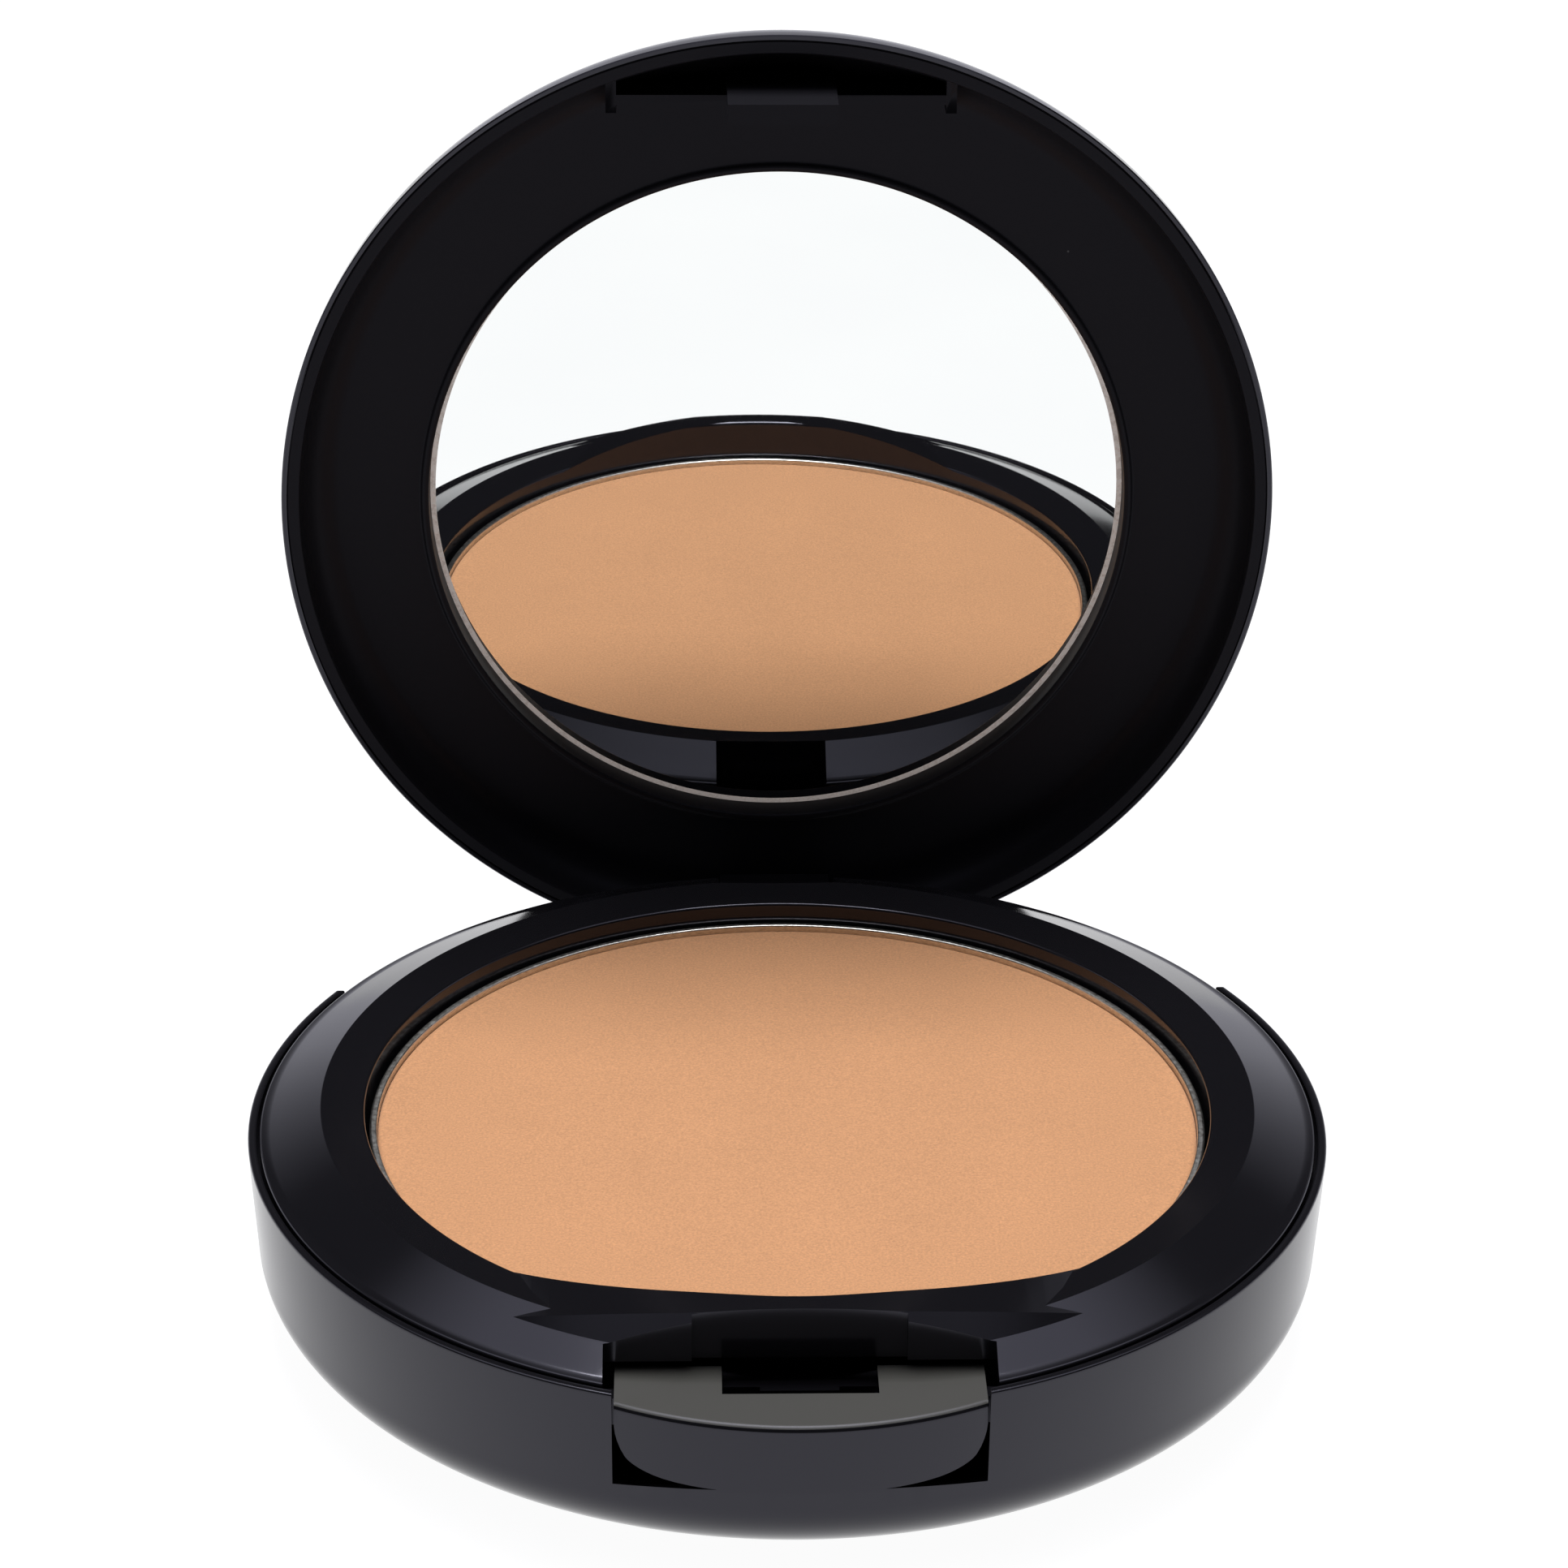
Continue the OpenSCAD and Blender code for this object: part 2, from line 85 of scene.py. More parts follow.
MIRROR_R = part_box("mirror")[1].x / MM - 0.1
SPONGE_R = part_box("sponge")[1].x
SPONGE_LOW, SPONGE_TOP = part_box("sponge")[0].z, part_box("sponge")[1].z
PIN_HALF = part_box("hinge_pin")[1].x
MIRROR_SHIFT = 0.4 * MM
LID_H = 11.3


# ------------------------------------------------------------------ what a user would change

class CompactSizes(bpy.types.PropertyGroup):
    segments: IntProperty(
        name="Segments", description="Steps round each turned piece", default=256, min=96, max=512)
    edge_round: FloatProperty(
        name="Edge Rounding", description="Radius of the moulded edges",
        default=0.12 * MM, min=0.02 * MM, max=0.3 * MM, subtype="DISTANCE", unit="LENGTH", precision=5)
    powder_grain: FloatProperty(
        name="Powder Grain", description="Size of the grains that show in the pressed powder",
        default=0.18 * MM, min=0.05 * MM, max=1 * MM, subtype="DISTANCE", unit="LENGTH", precision=5)
    sponge_pressure: FloatProperty(
        name="Sponge Pressure", description="Air pressure that swells the foam", default=2.0, min=0, max=8)


class CompactColours(bpy.types.PropertyGroup):
    case: FloatVectorProperty(
        name="Case", description="Moulded case, tray and lid", subtype="COLOR_GAMMA",
        default=(0.075, 0.073, 0.085), min=0, max=1)
    frame: FloatVectorProperty(
        name="Lid Frame", description="Satin inner frame of the lid", subtype="COLOR_GAMMA",
        default=(0.085, 0.083, 0.097), min=0, max=1)
    # used only on the button's upward top faces: partly the satin finish, partly painted light
    button: FloatVectorProperty(
        name="Button", description="Satin push button", subtype="COLOR_GAMMA",
        default=(0.27, 0.268, 0.252), min=0, max=1)
    powder: FloatVectorProperty(
        name="Powder", description="Pressed powder", subtype="COLOR_GAMMA",
        default=(0.80, 0.585, 0.415), min=0, max=1)
    sponge: FloatVectorProperty(
        name="Sponge", description="Foam applicator", subtype="COLOR_GAMMA",
        default=(0.906, 0.776, 0.659), min=0, max=1)


def sizes():
    return bpy.context.scene.compact_sizes


def colours():
    return bpy.context.scene.compact_colours


# ------------------------------------------------------------------ colour and nodes

def linear(colour):
    """sRGB hex text, or three sRGB values, to a linear RGBA colour."""
    if isinstance(colour, str):
        colour = [int(colour[i:i + 2], 16) / 255 for i in (1, 3, 5)]
    return [c / 12.92 if c <= 0.04045 else ((c + 0.055) / 1.055) ** 2.4 for c in colour] + [1.0]


def add_node(tree, kind, settings=None, inputs=None, links=None):
    """Adds one node. inputs sets sockets by name or number, links joins them to (node, socket)."""
    node = tree.nodes.new(kind)
    for key, value in (settings or {}).items():
        setattr(node, key, value)
    for key, value in (inputs or {}).items():
        node.inputs[key].default_value = value
    for key, (source, socket) in (links or {}).items():
        tree.links.new(source.outputs[socket], node.inputs[key])
    return node


def new_material(name, **shader):
    """A material with one Principled shader, whose constant sockets are given by name."""
    material = bpy.data.materials.new(name)
    material.use_nodes = True
    tree = material.node_tree
    principled = next(n for n in tree.nodes if n.type == "BSDF_PRINCIPLED")
    for key, value in shader.items():
        principled.inputs[key.replace("_", " ")].default_value = value
    return material, tree, principled


def surface_place(tree, centre=(0, 0, 0)):
    """Object coordinates, in metres, measured from a point."""
    where = add_node(tree, "ShaderNodeTexCoord")
    return add_node(tree, "ShaderNodeMapping", inputs={"Location": [-c for c in centre]},
                    links={"Vector": (where, "Object")})


def colour_mix(tree, low, high, factor, span=(0.3, 0.7)):
    """A ramp between two colours, driven by a pattern's output."""
    ramp = add_node(tree, "ShaderNodeValToRGB", links={"Fac": factor})
    ramp.color_ramp.elements[0].position, ramp.color_ramp.elements[1].position = span
    ramp.color_ramp.elements[0].color, ramp.color_ramp.elements[1].color = low, high
    return ramp


def value_mix(tree, factor, low, high):
    """A number between low and high, driven by a pattern that runs from 0 to 1."""
    return add_node(tree, "ShaderNodeMapRange", inputs={"To Min": low, "To Max": high}, links={"Value": factor})


def moulded_abs(name, colour, roughness, haze=0.05, flow=0.00003):
    """Injection-moulded ABS: a deep gloss whose face is very slightly uneven, as the plastic flowed
    and shrank in the mould, with a faint haze of handling."""
    material, tree, shader = new_material(name, Base_Color=linear(colour), IOR=1.53, Specular_Tint=linear("#dfdef0"))
    place = surface_place(tree)
    # wavelength of moulding flow, about 7 mm
    waves = add_node(tree, "ShaderNodeTexNoise", inputs={"Scale": 1 / (7 * MM), "Detail": 2.0, "Roughness": 0.4},
                     links={"Vector": (place, 0)})
    # handling haze, patches of about 14 mm broken up finely
    patches = add_node(tree, "ShaderNodeTexNoise", inputs={"Scale": 1 / (14 * MM), "Detail": 6.0, "Roughness": 0.62},
                       links={"Vector": (place, 0)})
    rough = value_mix(tree, (patches, 0), roughness, roughness + haze)
    bump = add_node(tree, "ShaderNodeBump", inputs={"Strength": 0.25, "Distance": flow}, links={"Height": (waves, 0)})
    tree.links.new(rough.outputs[0], shader.inputs["Roughness"])
    tree.links.new(bump.outputs[0], shader.inputs["Normal"])
    return material


def satin_abs(name, colour, roughness, gloss, grit=0.09 * MM):
    """ABS from a spark-eroded mould: a satin face with a fine even grain, and rare specks of dust."""
    material, tree, shader = new_material(name, IOR=1.53, Specular_IOR_Level=gloss, Specular_Tint=linear("#dfdef0"))
    place = surface_place(tree)
    grain = add_node(tree, "ShaderNodeTexNoise", inputs={"Scale": 1 / grit, "Detail": 2.0}, links={"Vector": (place, 0)})
    # one speck of dust in each cell of 5 mm, at most
    cells = add_node(tree, "ShaderNodeTexVoronoi", inputs={"Scale": 1 / (5 * MM)}, links={"Vector": (place, 0)})
    dust = add_node(tree, "ShaderNodeMapRange", inputs={"From Min": 0.012, "From Max": 0.02, "To Min": 1.0, "To Max": 0.0},
                    links={"Value": (cells, "Distance")})
    tint = colour_mix(tree, linear(colour), linear("#4a4a4c"), (dust, 0), span=(0.0, 1.0))
    rough = value_mix(tree, (grain, 0), roughness - 0.04, roughness + 0.06)
    bump = add_node(tree, "ShaderNodeBump", inputs={"Strength": 0.12, "Distance": 0.01 * MM}, links={"Height": (grain, 0)})
    tree.links.new(tint.outputs[0], shader.inputs["Base Color"])
    tree.links.new(rough.outputs[0], shader.inputs["Roughness"])
    tree.links.new(bump.outputs[0], shader.inputs["Normal"])
    return material


def pressed_powder():
    """Talc and pigment pressed under a woven cloth: fully matt, a soft velvet edge, fine grains of two
    tones, and the faint print of the cloth. The grain is drawn coarser than real talc so that it shows."""
    powder = colours().powder
    material, tree, shader = new_material(
        "pressed_powder", Roughness=0.95, IOR=1.4, Sheen_Weight=0.25, Sheen_Roughness=0.6,
        Sheen_Tint=linear("#ffe2c8"))
    place = surface_place(tree)
    grain = add_node(tree, "ShaderNodeTexNoise", inputs={"Scale": 1 / sizes().powder_grain, "Detail": 4.0, "Roughness": 0.7},
                     links={"Vector": (place, 0)})
    cloud = add_node(tree, "ShaderNodeTexNoise", inputs={"Scale": 1 / (9 * MM), "Detail": 3.0}, links={"Vector": (place, 0)})
    tone = add_node(tree, "ShaderNodeMath", {"operation": "MULTIPLY_ADD"}, inputs={1: 0.12}, links={0: (cloud, 0), 2: (grain, 0)})
    dark = [c * 0.87 for c in powder]
    light = [min(1, c * 1.06) for c in powder]
    tint = colour_mix(tree, linear(dark), linear(light), (tone, 0), span=(0.36, 0.78))
    # threads of the pressing cloth, 0.55 mm apart, turned a few degrees
    turned_place = add_node(tree, "ShaderNodeMapping", inputs={"Rotation": (0, 0, radians(24))}, links={"Vector": (place, 0)})
    threads = [add_node(tree, "ShaderNodeTexWave", {"wave_type": "BANDS", "bands_direction": axis},
                        inputs={"Scale": 1 / (20 * 0.55 * MM) * pi, "Distortion": 1.2, "Detail": 2.0},
                        links={"Vector": (turned_place, 0)}) for axis in ("X", "Y")]
    cloth = add_node(tree, "ShaderNodeMath", {"operation": "MAXIMUM"}, links={0: (threads[0], 1), 1: (threads[1], 1)})
    print_bump = add_node(tree, "ShaderNodeBump", inputs={"Strength": 0.16, "Distance": 0.03 * MM}, links={"Height": (cloth, 0)})
    bump = add_node(tree, "ShaderNodeBump", inputs={"Strength": 0.7, "Distance": 0.06 * MM},
                    links={"Height": (grain, 0), "Normal": (print_bump, 0)})
    tree.links.new(tint.outputs[0], shader.inputs["Base Color"])
    tree.links.new(bump.outputs[0], shader.inputs["Normal"])
    return material


def pressed_aluminium():
    """Deep-drawn aluminium sheet: bright and clean, with fine draw lines and a little dust of powder."""
    material, tree, shader = new_material("pressed_aluminium", Metallic=1.0)
    place = surface_place(tree)
    stretched = add_node(tree, "ShaderNodeMapping", inputs={"Scale": (1, 1, 8)}, links={"Vector": (place, 0)})
    lines = add_node(tree, "ShaderNodeTexNoise", inputs={"Scale": 1 / (0.4 * MM), "Detail": 3.0}, links={"Vector": (stretched, 0)})
    tint = colour_mix(tree, linear("#b9b5ae"), linear("#e9e8e4"), (lines, 0))
    rough = value_mix(tree, (lines, 0), 0.22, 0.4)
    bump = add_node(tree, "ShaderNodeBump", inputs={"Strength": 0.3, "Distance": 0.02 * MM}, links={"Height": (lines, 0)})
    tree.links.new(tint.outputs[0], shader.inputs["Base Color"])
    tree.links.new(rough.outputs[0], shader.inputs["Roughness"])
    tree.links.new(bump.outputs[0], shader.inputs["Normal"])
    return material


def silvered_glass():
    """Float glass silvered behind: a clean reflection with the least green cast, and faint smears."""
    material, tree, shader = new_material("silvered_glass", Base_Color=linear("#f1f3f2"), Metallic=1.0)
    place = surface_place(tree)
    smear = add_node(tree, "ShaderNodeTexNoise", inputs={"Scale": 1 / (16 * MM), "Detail": 5.0, "Roughness": 0.7},
                     links={"Vector": (place, 0)})
    rough = value_mix(tree, (smear, 0), 0.0, 0.02)
    tree.links.new(rough.outputs[0], shader.inputs["Roughness"])
    return material


def ground_glass_edge_painted_glow():
    """The ground and seamed edge of the mirror glass: pale, with a faint painted glow standing in for the light it
    gathers.
    """
    # the emission is a painted glow: the glass edge is no lamp
    material, tree, shader = new_material(
        "ground_glass_edge_painted_glow", IOR=1.52, Emission_Color=linear("#f2e6e0"), Emission_Strength=0.2)
    place = surface_place(tree)
    grind = add_node(tree, "ShaderNodeTexNoise", inputs={"Scale": 1 / (0.5 * MM), "Detail": 3.0}, links={"Vector": (place, 0)})
    tint = colour_mix(tree, linear("#c9c3bf"), linear("#ffffff"), (grind, 0), span=(0.35, 0.6))
    rough = value_mix(tree, (grind, 0), 0.12, 0.4)
    tree.links.new(tint.outputs[0], shader.inputs["Base Color"])
    tree.links.new(rough.outputs[0], shader.inputs["Roughness"])
    return material


def drawn_steel():
    """Drawn spring steel: fine lines along the wire and a cool grey tone."""
    material, tree, shader = new_material("drawn_steel", Metallic=1.0)
    place = surface_place(tree)
    along = add_node(tree, "ShaderNodeMapping", inputs={"Scale": (0.1, 1, 1)}, links={"Vector": (place, 0)})
    lines = add_node(tree, "ShaderNodeTexNoise", inputs={"Scale": 1 / (0.12 * MM), "Detail": 2.0}, links={"Vector": (along, 0)})
    tint = colour_mix(tree, linear("#85878a"), linear("#c4c6c8"), (lines, 0))
    rough = value_mix(tree, (lines, 0), 0.2, 0.38)
    tree.links.new(tint.outputs[0], shader.inputs["Base Color"])
    tree.links.new(rough.outputs[0], shader.inputs["Roughness"])
    return material


def foam_rubber():
    """Fine latex foam for applying powder: matt, with closed pores about 0.25 mm across."""
    sponge = colours().sponge
    material, tree, shader = new_material("foam_rubber", Roughness=0.9, IOR=1.45, Sheen_Weight=0.3)
    place = surface_place(tree)
    pores = add_node(tree, "ShaderNodeTexVoronoi", inputs={"Scale": 1 / (0.35 * MM)}, links={"Vector": (place, 0)})
    # darker towards each pore's middle, where the bump sinks the face: painted shade in the pores
    tint = colour_mix(tree, linear([c * 0.82 for c in sponge]), linear(sponge), (pores, "Distance"), span=(0.05, 0.35))
    bump = add_node(tree, "ShaderNodeBump", inputs={"Strength": 0.5, "Distance": 0.08 * MM}, links={"Height": (pores, "Distance")})
    tree.links.new(tint.outputs[0], shader.inputs["Base Color"])
    tree.links.new(bump.outputs[0], shader.inputs["Normal"])
    return material


def film_label():
    """A blank polypropylene label film with a soft gloss."""
    material, tree, shader = new_material("film_label", IOR=1.49)
    place = surface_place(tree)
    mottle = add_node(tree, "ShaderNodeTexNoise", inputs={"Scale": 1 / (2 * MM), "Detail": 4.0}, links={"Vector": (place, 0)})
    tint = colour_mix(tree, linear("#bfc0c3"), linear("#cacbce"), (mottle, 0))
    rough = value_mix(tree, (mottle, 0), 0.3, 0.42)
    tree.links.new(tint.outputs[0], shader.inputs["Base Color"])
    tree.links.new(rough.outputs[0], shader.inputs["Roughness"])
    return material


def clear_adhesive():
    """Acrylic adhesive with trapped air: cloudy, tacky and uneven."""
    material, tree, shader = new_material("acrylic_adhesive", IOR=1.47)
    place = surface_place(tree)
    air = add_node(tree, "ShaderNodeTexNoise", inputs={"Scale": 1 / (1.5 * MM), "Detail": 5.0}, links={"Vector": (place, 0)})
    tint = colour_mix(tree, linear("#9c9a8f"), linear("#cfcdc2"), (air, 0))
    rough = value_mix(tree, (air, 0), 0.25, 0.6)
    tree.links.new(tint.outputs[0], shader.inputs["Base Color"])
    tree.links.new(rough.outputs[0], shader.inputs["Roughness"])
    return material


# ------------------------------------------------------------------ modelling with Blender's tools

def only(obj):
    """Makes obj the one selected and active object."""
    bpy.ops.object.select_all(action="DESELECT")
    obj.select_set(True)
    bpy.context.view_layer.objects.active = obj


def settle(obj):
    """Puts the object at the origin, unturned and unscaled, with its place in its mesh."""
    only(obj)
    bpy.ops.object.transform_apply(location=True, rotation=True, scale=True)
    return obj


def draw(name, points):
    """Draws a line through points, one extruded vertex at a time, and leaves it selected in edit mode."""
    bpy.ops.object.select_all(action="DESELECT")
    bpy.ops.mesh.primitive_plane_add(size=MM)
    obj = bpy.context.object
    obj.name = obj.data.name = name
    bpy.ops.object.mode_set(mode="EDIT")
    bpy.ops.mesh.merge(type="CENTER")
    here = Vector((0, 0, 0))
    bpy.ops.transform.translate(value=points[0])
    here = Vector(points[0])
    for there in points[1:]:
        bpy.ops.mesh.extrude_vertices_move(TRANSFORM_OT_translate={"value": Vector(there) - here})
        here = Vector(there)
    bpy.ops.mesh.select_all(action="SELECT")
    return obj


def seal():
    """Merges doubles and turns the faces outwards, from edit mode."""
    bpy.ops.mesh.select_all(action="SELECT")
    bpy.ops.mesh.remove_doubles(threshold=0.001 * MM)
    bpy.ops.mesh.normals_make_consistent(inside=False)
    bpy.ops.object.mode_set(mode="OBJECT")


def turned(name, outline):
    """Spins an outline of (radius, height) points, given in millimetres, about the vertical axis.
    It starts and ends on the axis, or ends where it started."""
    obj = draw(name, [Vector((radius, 0, height)) * MM for radius, height in outline])
    bpy.ops.mesh.spin(steps=sizes().segments, angle=2 * pi, center=(0, 0, 0), axis=(0, 0, 1))
    seal()
    return obj


def prism(name, outline, depth):
    """Fills a closed outline and extrudes it by a vector, all in metres."""
    obj = draw(name, outline)
    bpy.ops.mesh.edge_face_add()
    bpy.ops.mesh.select_all(action="DESELECT")
    bpy.ops.object.mode_set(mode="OBJECT")
    for vertex in (obj.data.vertices[0], obj.data.vertices[-1]):
        vertex.select = True
    bpy.ops.object.mode_set(mode="EDIT")
    bpy.ops.mesh.edge_face_add()
    bpy.ops.mesh.select_all(action="SELECT")
    bpy.ops.mesh.edge_face_add()
    bpy.ops.mesh.extrude_region_move(TRANSFORM_OT_translate={"value": depth})
    seal()
    return obj


def cube(name, low, high):
    """A cuboid between two corners."""
    low, high = Vector(low), Vector(high)
    bpy.ops.object.select_all(action="DESELECT")
    bpy.ops.mesh.primitive_cube_add(size=1, location=(low + high) / 2)
    obj = bpy.context.object
    obj.name = name
    obj.scale = high - low
    return settle(obj)


def rod(name, radius, start, end, sides=64):
    """A round bar between two points."""
    start, end = Vector(start), Vector(end)
    bpy.ops.object.select_all(action="DESELECT")
    bpy.ops.mesh.primitive_cylinder_add(vertices=sides, radius=radius, depth=(end - start).length,
                                        location=(start + end) / 2)
    obj = bpy.context.object
    obj.name = name
    obj.rotation_euler = (end - start).to_track_quat("Z", "Y").to_euler()
    return settle(obj)


def dome(radius, low, height, steps, power=2.6):
    """The dome's curve from its side up to its top, in millimetres."""
    turns = [radians(90 * i / steps) for i in range(steps + 1)]
    return [(radius * max(cos(t), 0) ** (2 / power), low + height * sin(t) ** (2 / power)) for t in turns]


def combine(obj, tool, operation):
    """Joins, cuts or intersects obj with tool, and removes the tool."""
    only(obj)
    modifier = obj.modifiers.new(operation, "BOOLEAN")
    modifier.operation = operation
    modifier.solver = "EXACT"
    modifier.object = tool
    bpy.ops.object.modifier_apply(modifier=modifier.name)
    mesh = tool.data
    bpy.data.objects.remove(tool)
    bpy.data.meshes.remove(mesh)
    return obj


def cut(obj, tool):
    return combine(obj, tool, "DIFFERENCE")


def join(obj, tool):
    return combine(obj, tool, "UNION")


def soften(obj, width=None, angle=38, segments=2):
    """Rounds the edges that the mould left sharp."""
    only(obj)
    bevel = obj.modifiers.new("moulded edges", "BEVEL")
    bevel.width = width or sizes().edge_round
    bevel.segments = segments
    bevel.limit_method = "ANGLE"
    bevel.angle_limit = radians(angle)
    bevel.use_clamp_overlap = True
    bevel.miter_outer = "MITER_ARC"
    bpy.ops.object.modifier_apply(modifier=bevel.name)
    return obj


def smooth(obj, angle=40):
    """Smooth shading with flat faces kept flat next to their rounded edges."""
    only(obj)
    bpy.ops.object.shade_smooth_by_angle(angle=radians(angle))
    weighted = obj.modifiers.new("flat faces", "WEIGHTED_NORMAL")
    weighted.keep_sharp = True
    bpy.ops.object.modifier_apply(modifier=weighted.name)
    return obj


def turn_open(obj):
    """Turns a lid piece that was modelled closed to the pose where the lid stands open."""
    turn = Matrix.Translation(HINGE) @ Matrix.Rotation(-LID_OPEN, 4, "X") @ Matrix.Translation(-HINGE)
    obj.matrix_world = turn @ obj.matrix_world
    return settle(obj)


def dress(obj, material):
    obj.data.materials.clear()
    obj.data.materials.append(material)
    return obj


def finish_piece(obj, body, nodes):
    """Hands a finished piece to the frame."""
    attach(obj, body)
    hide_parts(*nodes)
    return obj


def arc(centre, radii, start, end, steps):
    """Points on an ellipse arc in the section, angles in degrees from the outward direction."""
    return [(centre[0] + radii[0] * cos(radians(start + (end - start) * i / steps)),
             centre[1] + radii[1] * sin(radians(start + (end - start) * i / steps))) for i in range(steps + 1)]


# ------------------------------------------------------------------ pieces

class COMPACT_OT_case(bpy.types.Operator):
    """Models the glossy lower case"""
    bl_idname = "compact.case"
    bl_label = "Lower Case"

    def execute(self, context):
        rim, radius = RIM_Z / MM, CASE_R / MM
        wall, foot, lift = 1.4, 29.0, 6.0
        ledge, lip_in = rim - 1.4, radius - 0.6
        outline = [(0, 0.15), (22.1, 0.15), (22.1, 0)]
        outline += arc((foot, lift), (radius - foot - 0.4, lift), -90, 0, 20)
        outline += [(radius - 0.1, rim - 2.5), (radius, rim - 0.25)]
        outline += arc((radius - 0.15, rim - 0.15), (0.15, 0.15), 0, 90, 4)
        outline += arc((lip_in + 0.12, rim - 0.12), (0.12, 0.12), 90, 180, 3)
        outline += [(lip_in, ledge), (radius - wall, ledge), (radius - wall, lift)]
        outline += arc((foot, lift), (radius - wall - foot, lift - 1.3), 0, -90, 12)[1:]
        outline += [(0, 1.3)]
        case = turned("case_shell", outline)
        far = 2 * CASE_R
        step, half = 0.477 * CASE_R, CASE_R / 2
        cut(case, cube("lip_end", (-far, step, ledge * MM), (far, far, far)))
        wall_top = HINGE.z - 0.5 * MM
        cut(case, cube("rear_step", (-half, 0, wall_top), (half, far, far)))
        cut(case, above_floor("button_pocket", BUTTON_HALF + 0.15 * MM, BUTTON_LOW - 0.1 * MM, far))
        self.hinge_ears(case)
        for x in (-1, 1):
            x *= BUTTON_HALF / MM - 3.6
            join(case, cube("spring_post", ((x - 1.7) * MM, -33.9 * MM, 1.7 * MM), ((x + 1.7) * MM, -32.4 * MM, 10.8 * MM)))
        soften(case, 0.1 * MM)
        smooth(case)
        dress(case, moulded_abs("moulded_gloss_abs", colours().case, 0.12))
        finish_piece(case, "case", ["lower_case"])
        return {"FINISHED"}

    def hinge_ears(self, case):
        """The two ears at the back that hold the pin, and the slots for the knuckles and the lid's arm."""
        knuckle, ear_in, ear_out = 1.9 * MM, 8.0 * MM, PIN_HALF + 0.1 * MM
        for side in (-1, 1):
            x = sorted((side * ear_in, side * ear_out))
            ear = rod("ear", knuckle, (x[0], HINGE.y, HINGE.z), (x[1], HINGE.y, HINGE.z))
            join(ear, cube("ear_rib", (x[0], HINGE.y - knuckle, 2.2 * MM), (x[1], HINGE.y - 0.2 * MM, HINGE.z)))
            join(case, ear)
        inner = HINGE.y - knuckle - 0.35 * MM
        far = 2 * CASE_R
        cut(case, cube("knuckle_room", (-ear_in, inner, HINGE.z - 2.25 * MM), (ear_in, far, far)))
        cut(case, cube("arm_slot", (-4.7 * MM, inner, HINGE.z - 4.7 * MM), (4.7 * MM, far, far)))
        cut(case, rod("pin_bore", 0.8 * MM, (-far, HINGE.y, HINGE.z), (far, HINGE.y, HINGE.z)))


class COMPACT_OT_tray(bpy.types.Operator):
    """Models the powder tray with its skirt, hump and cut-outs"""
    bl_idname = "compact.tray"
    bl_label = "Powder Tray"

    def execute(self, context):
        rim = RIM_Z / MM
        edge, crest, top = TRAY_R / MM, 33.7, rim + 1.8
        well, well_out, floor, under = 30.6, 31.5, rim - 4.3, TRAY_LOW / MM
        skirt_under = rim - 0.23
        outline = [(0, floor)] + arc((well - 0.4, floor + 0.4), (0.4, 0.4), -90, 0, 4)
        outline += arc((well + 0.25, top - 0.75), (0.25, 0.25), 180, 90, 9)
        outline += [(well + 1.6, top - 0.3)]
        outline += arc((crest, top - 0.12), (0.12, 0.12), 100, 62, 4)
        outline += [(crest + 1.6, top - 0.67), (edge - 1.5, rim + 0.55), (edge - 0.8, rim + 0.24),
                    (edge - 0.6, rim + 0.17), (edge - 0.4, rim + 0.13)]
        outline += arc((edge - 0.2, rim - 0.1), (0.2, 0.2), 80, 0, 3)
        outline += [(edge, rim - 1.2), (edge - 0.12, rim - 1.35), (edge - 1.3, rim - 1.35),
                    (edge - 1.3, rim - 1.0), (edge - 3, skirt_under), (well_out, skirt_under),
                    (well_out, under + 0.2), (well_out - 0.2, under), (0, under)]
        tray = turned("tray_body", outline)
        join(tray, self.hump(well, well_out, skirt_under, top))
        far = 2 * CASE_R
        gate, hook_gate = (well_out + 1.3) * MM, (well_out + 0.9) * MM
        side = BUTTON_HALF + 0.75 * MM
        self.hinge_knuckles(tray, skirt_under * MM)
        cut(tray, cube("latch_gate", (-side, -far, 0), (side, -gate, far)))
        cut(tray, cube("hook_gate", (-7.05 * MM, -far, 0), (7.05 * MM, -hook_gate, far)))
        cut(tray, cube("arm_gate", (-4.7 * MM, HINGE.y - 2.1 * MM, 0), (4.7 * MM, far, far)))
        cut(tray, rod("pin_way", 0.85 * MM, (-far, HINGE.y, HINGE.z), (far, HINGE.y, HINGE.z)))
        smooth(tray, 11)
        dress(tray, moulded_abs("tray_gloss_abs", colours().case, 0.1))
        finish_piece(tray, "tray", ["powder_tray"])
        return {"FINISHED"}

    def hump(self, well, well_out, low, crest):
        """The raised arch at the front that covers the hook."""
        high, half = HUMP_Z / MM, 18.5
        outer = well_out + 1.3
        drop = high - crest + 0.5
        arch = (half * half + drop * drop) / (2 * drop)
        outline = [(well, low), (outer + 5, low), (outer + 2.3, crest - 0.6), (outer + 0.25, high - 0.3)]
        outline += arc((outer - 0.1, high - 0.4), (0.4, 0.4), 40, 90, 5)
        outline += arc((well + 0.4, high - 0.4), (0.4, 0.4), 90, 180, 9) + [(well, low)]
        hump = turned("hump", outline)
        barrel = rod("arch", arch * MM, (0, -2 * CASE_R, (high - arch) * MM), (0, 0, (high - arch) * MM), sides=360)
        return combine(hump, barrel, "INTERSECT")

    def hinge_knuckles(self, tray, under):
        knuckle, inner, outer = 1.9 * MM, 4.7 * MM, 7.8 * MM
        for side in (-1, 1):
            x = sorted((side * inner, side * outer))
            piece = rod("knuckle", knuckle, (x[0], HINGE.y, HINGE.z), (x[1], HINGE.y, HINGE.z))
            join(piece, cube("web", (x[0], HINGE.y - knuckle, HINGE.z), (x[1], HINGE.y + 1.3 * MM, under + 0.3 * MM)))
            join(tray, piece)


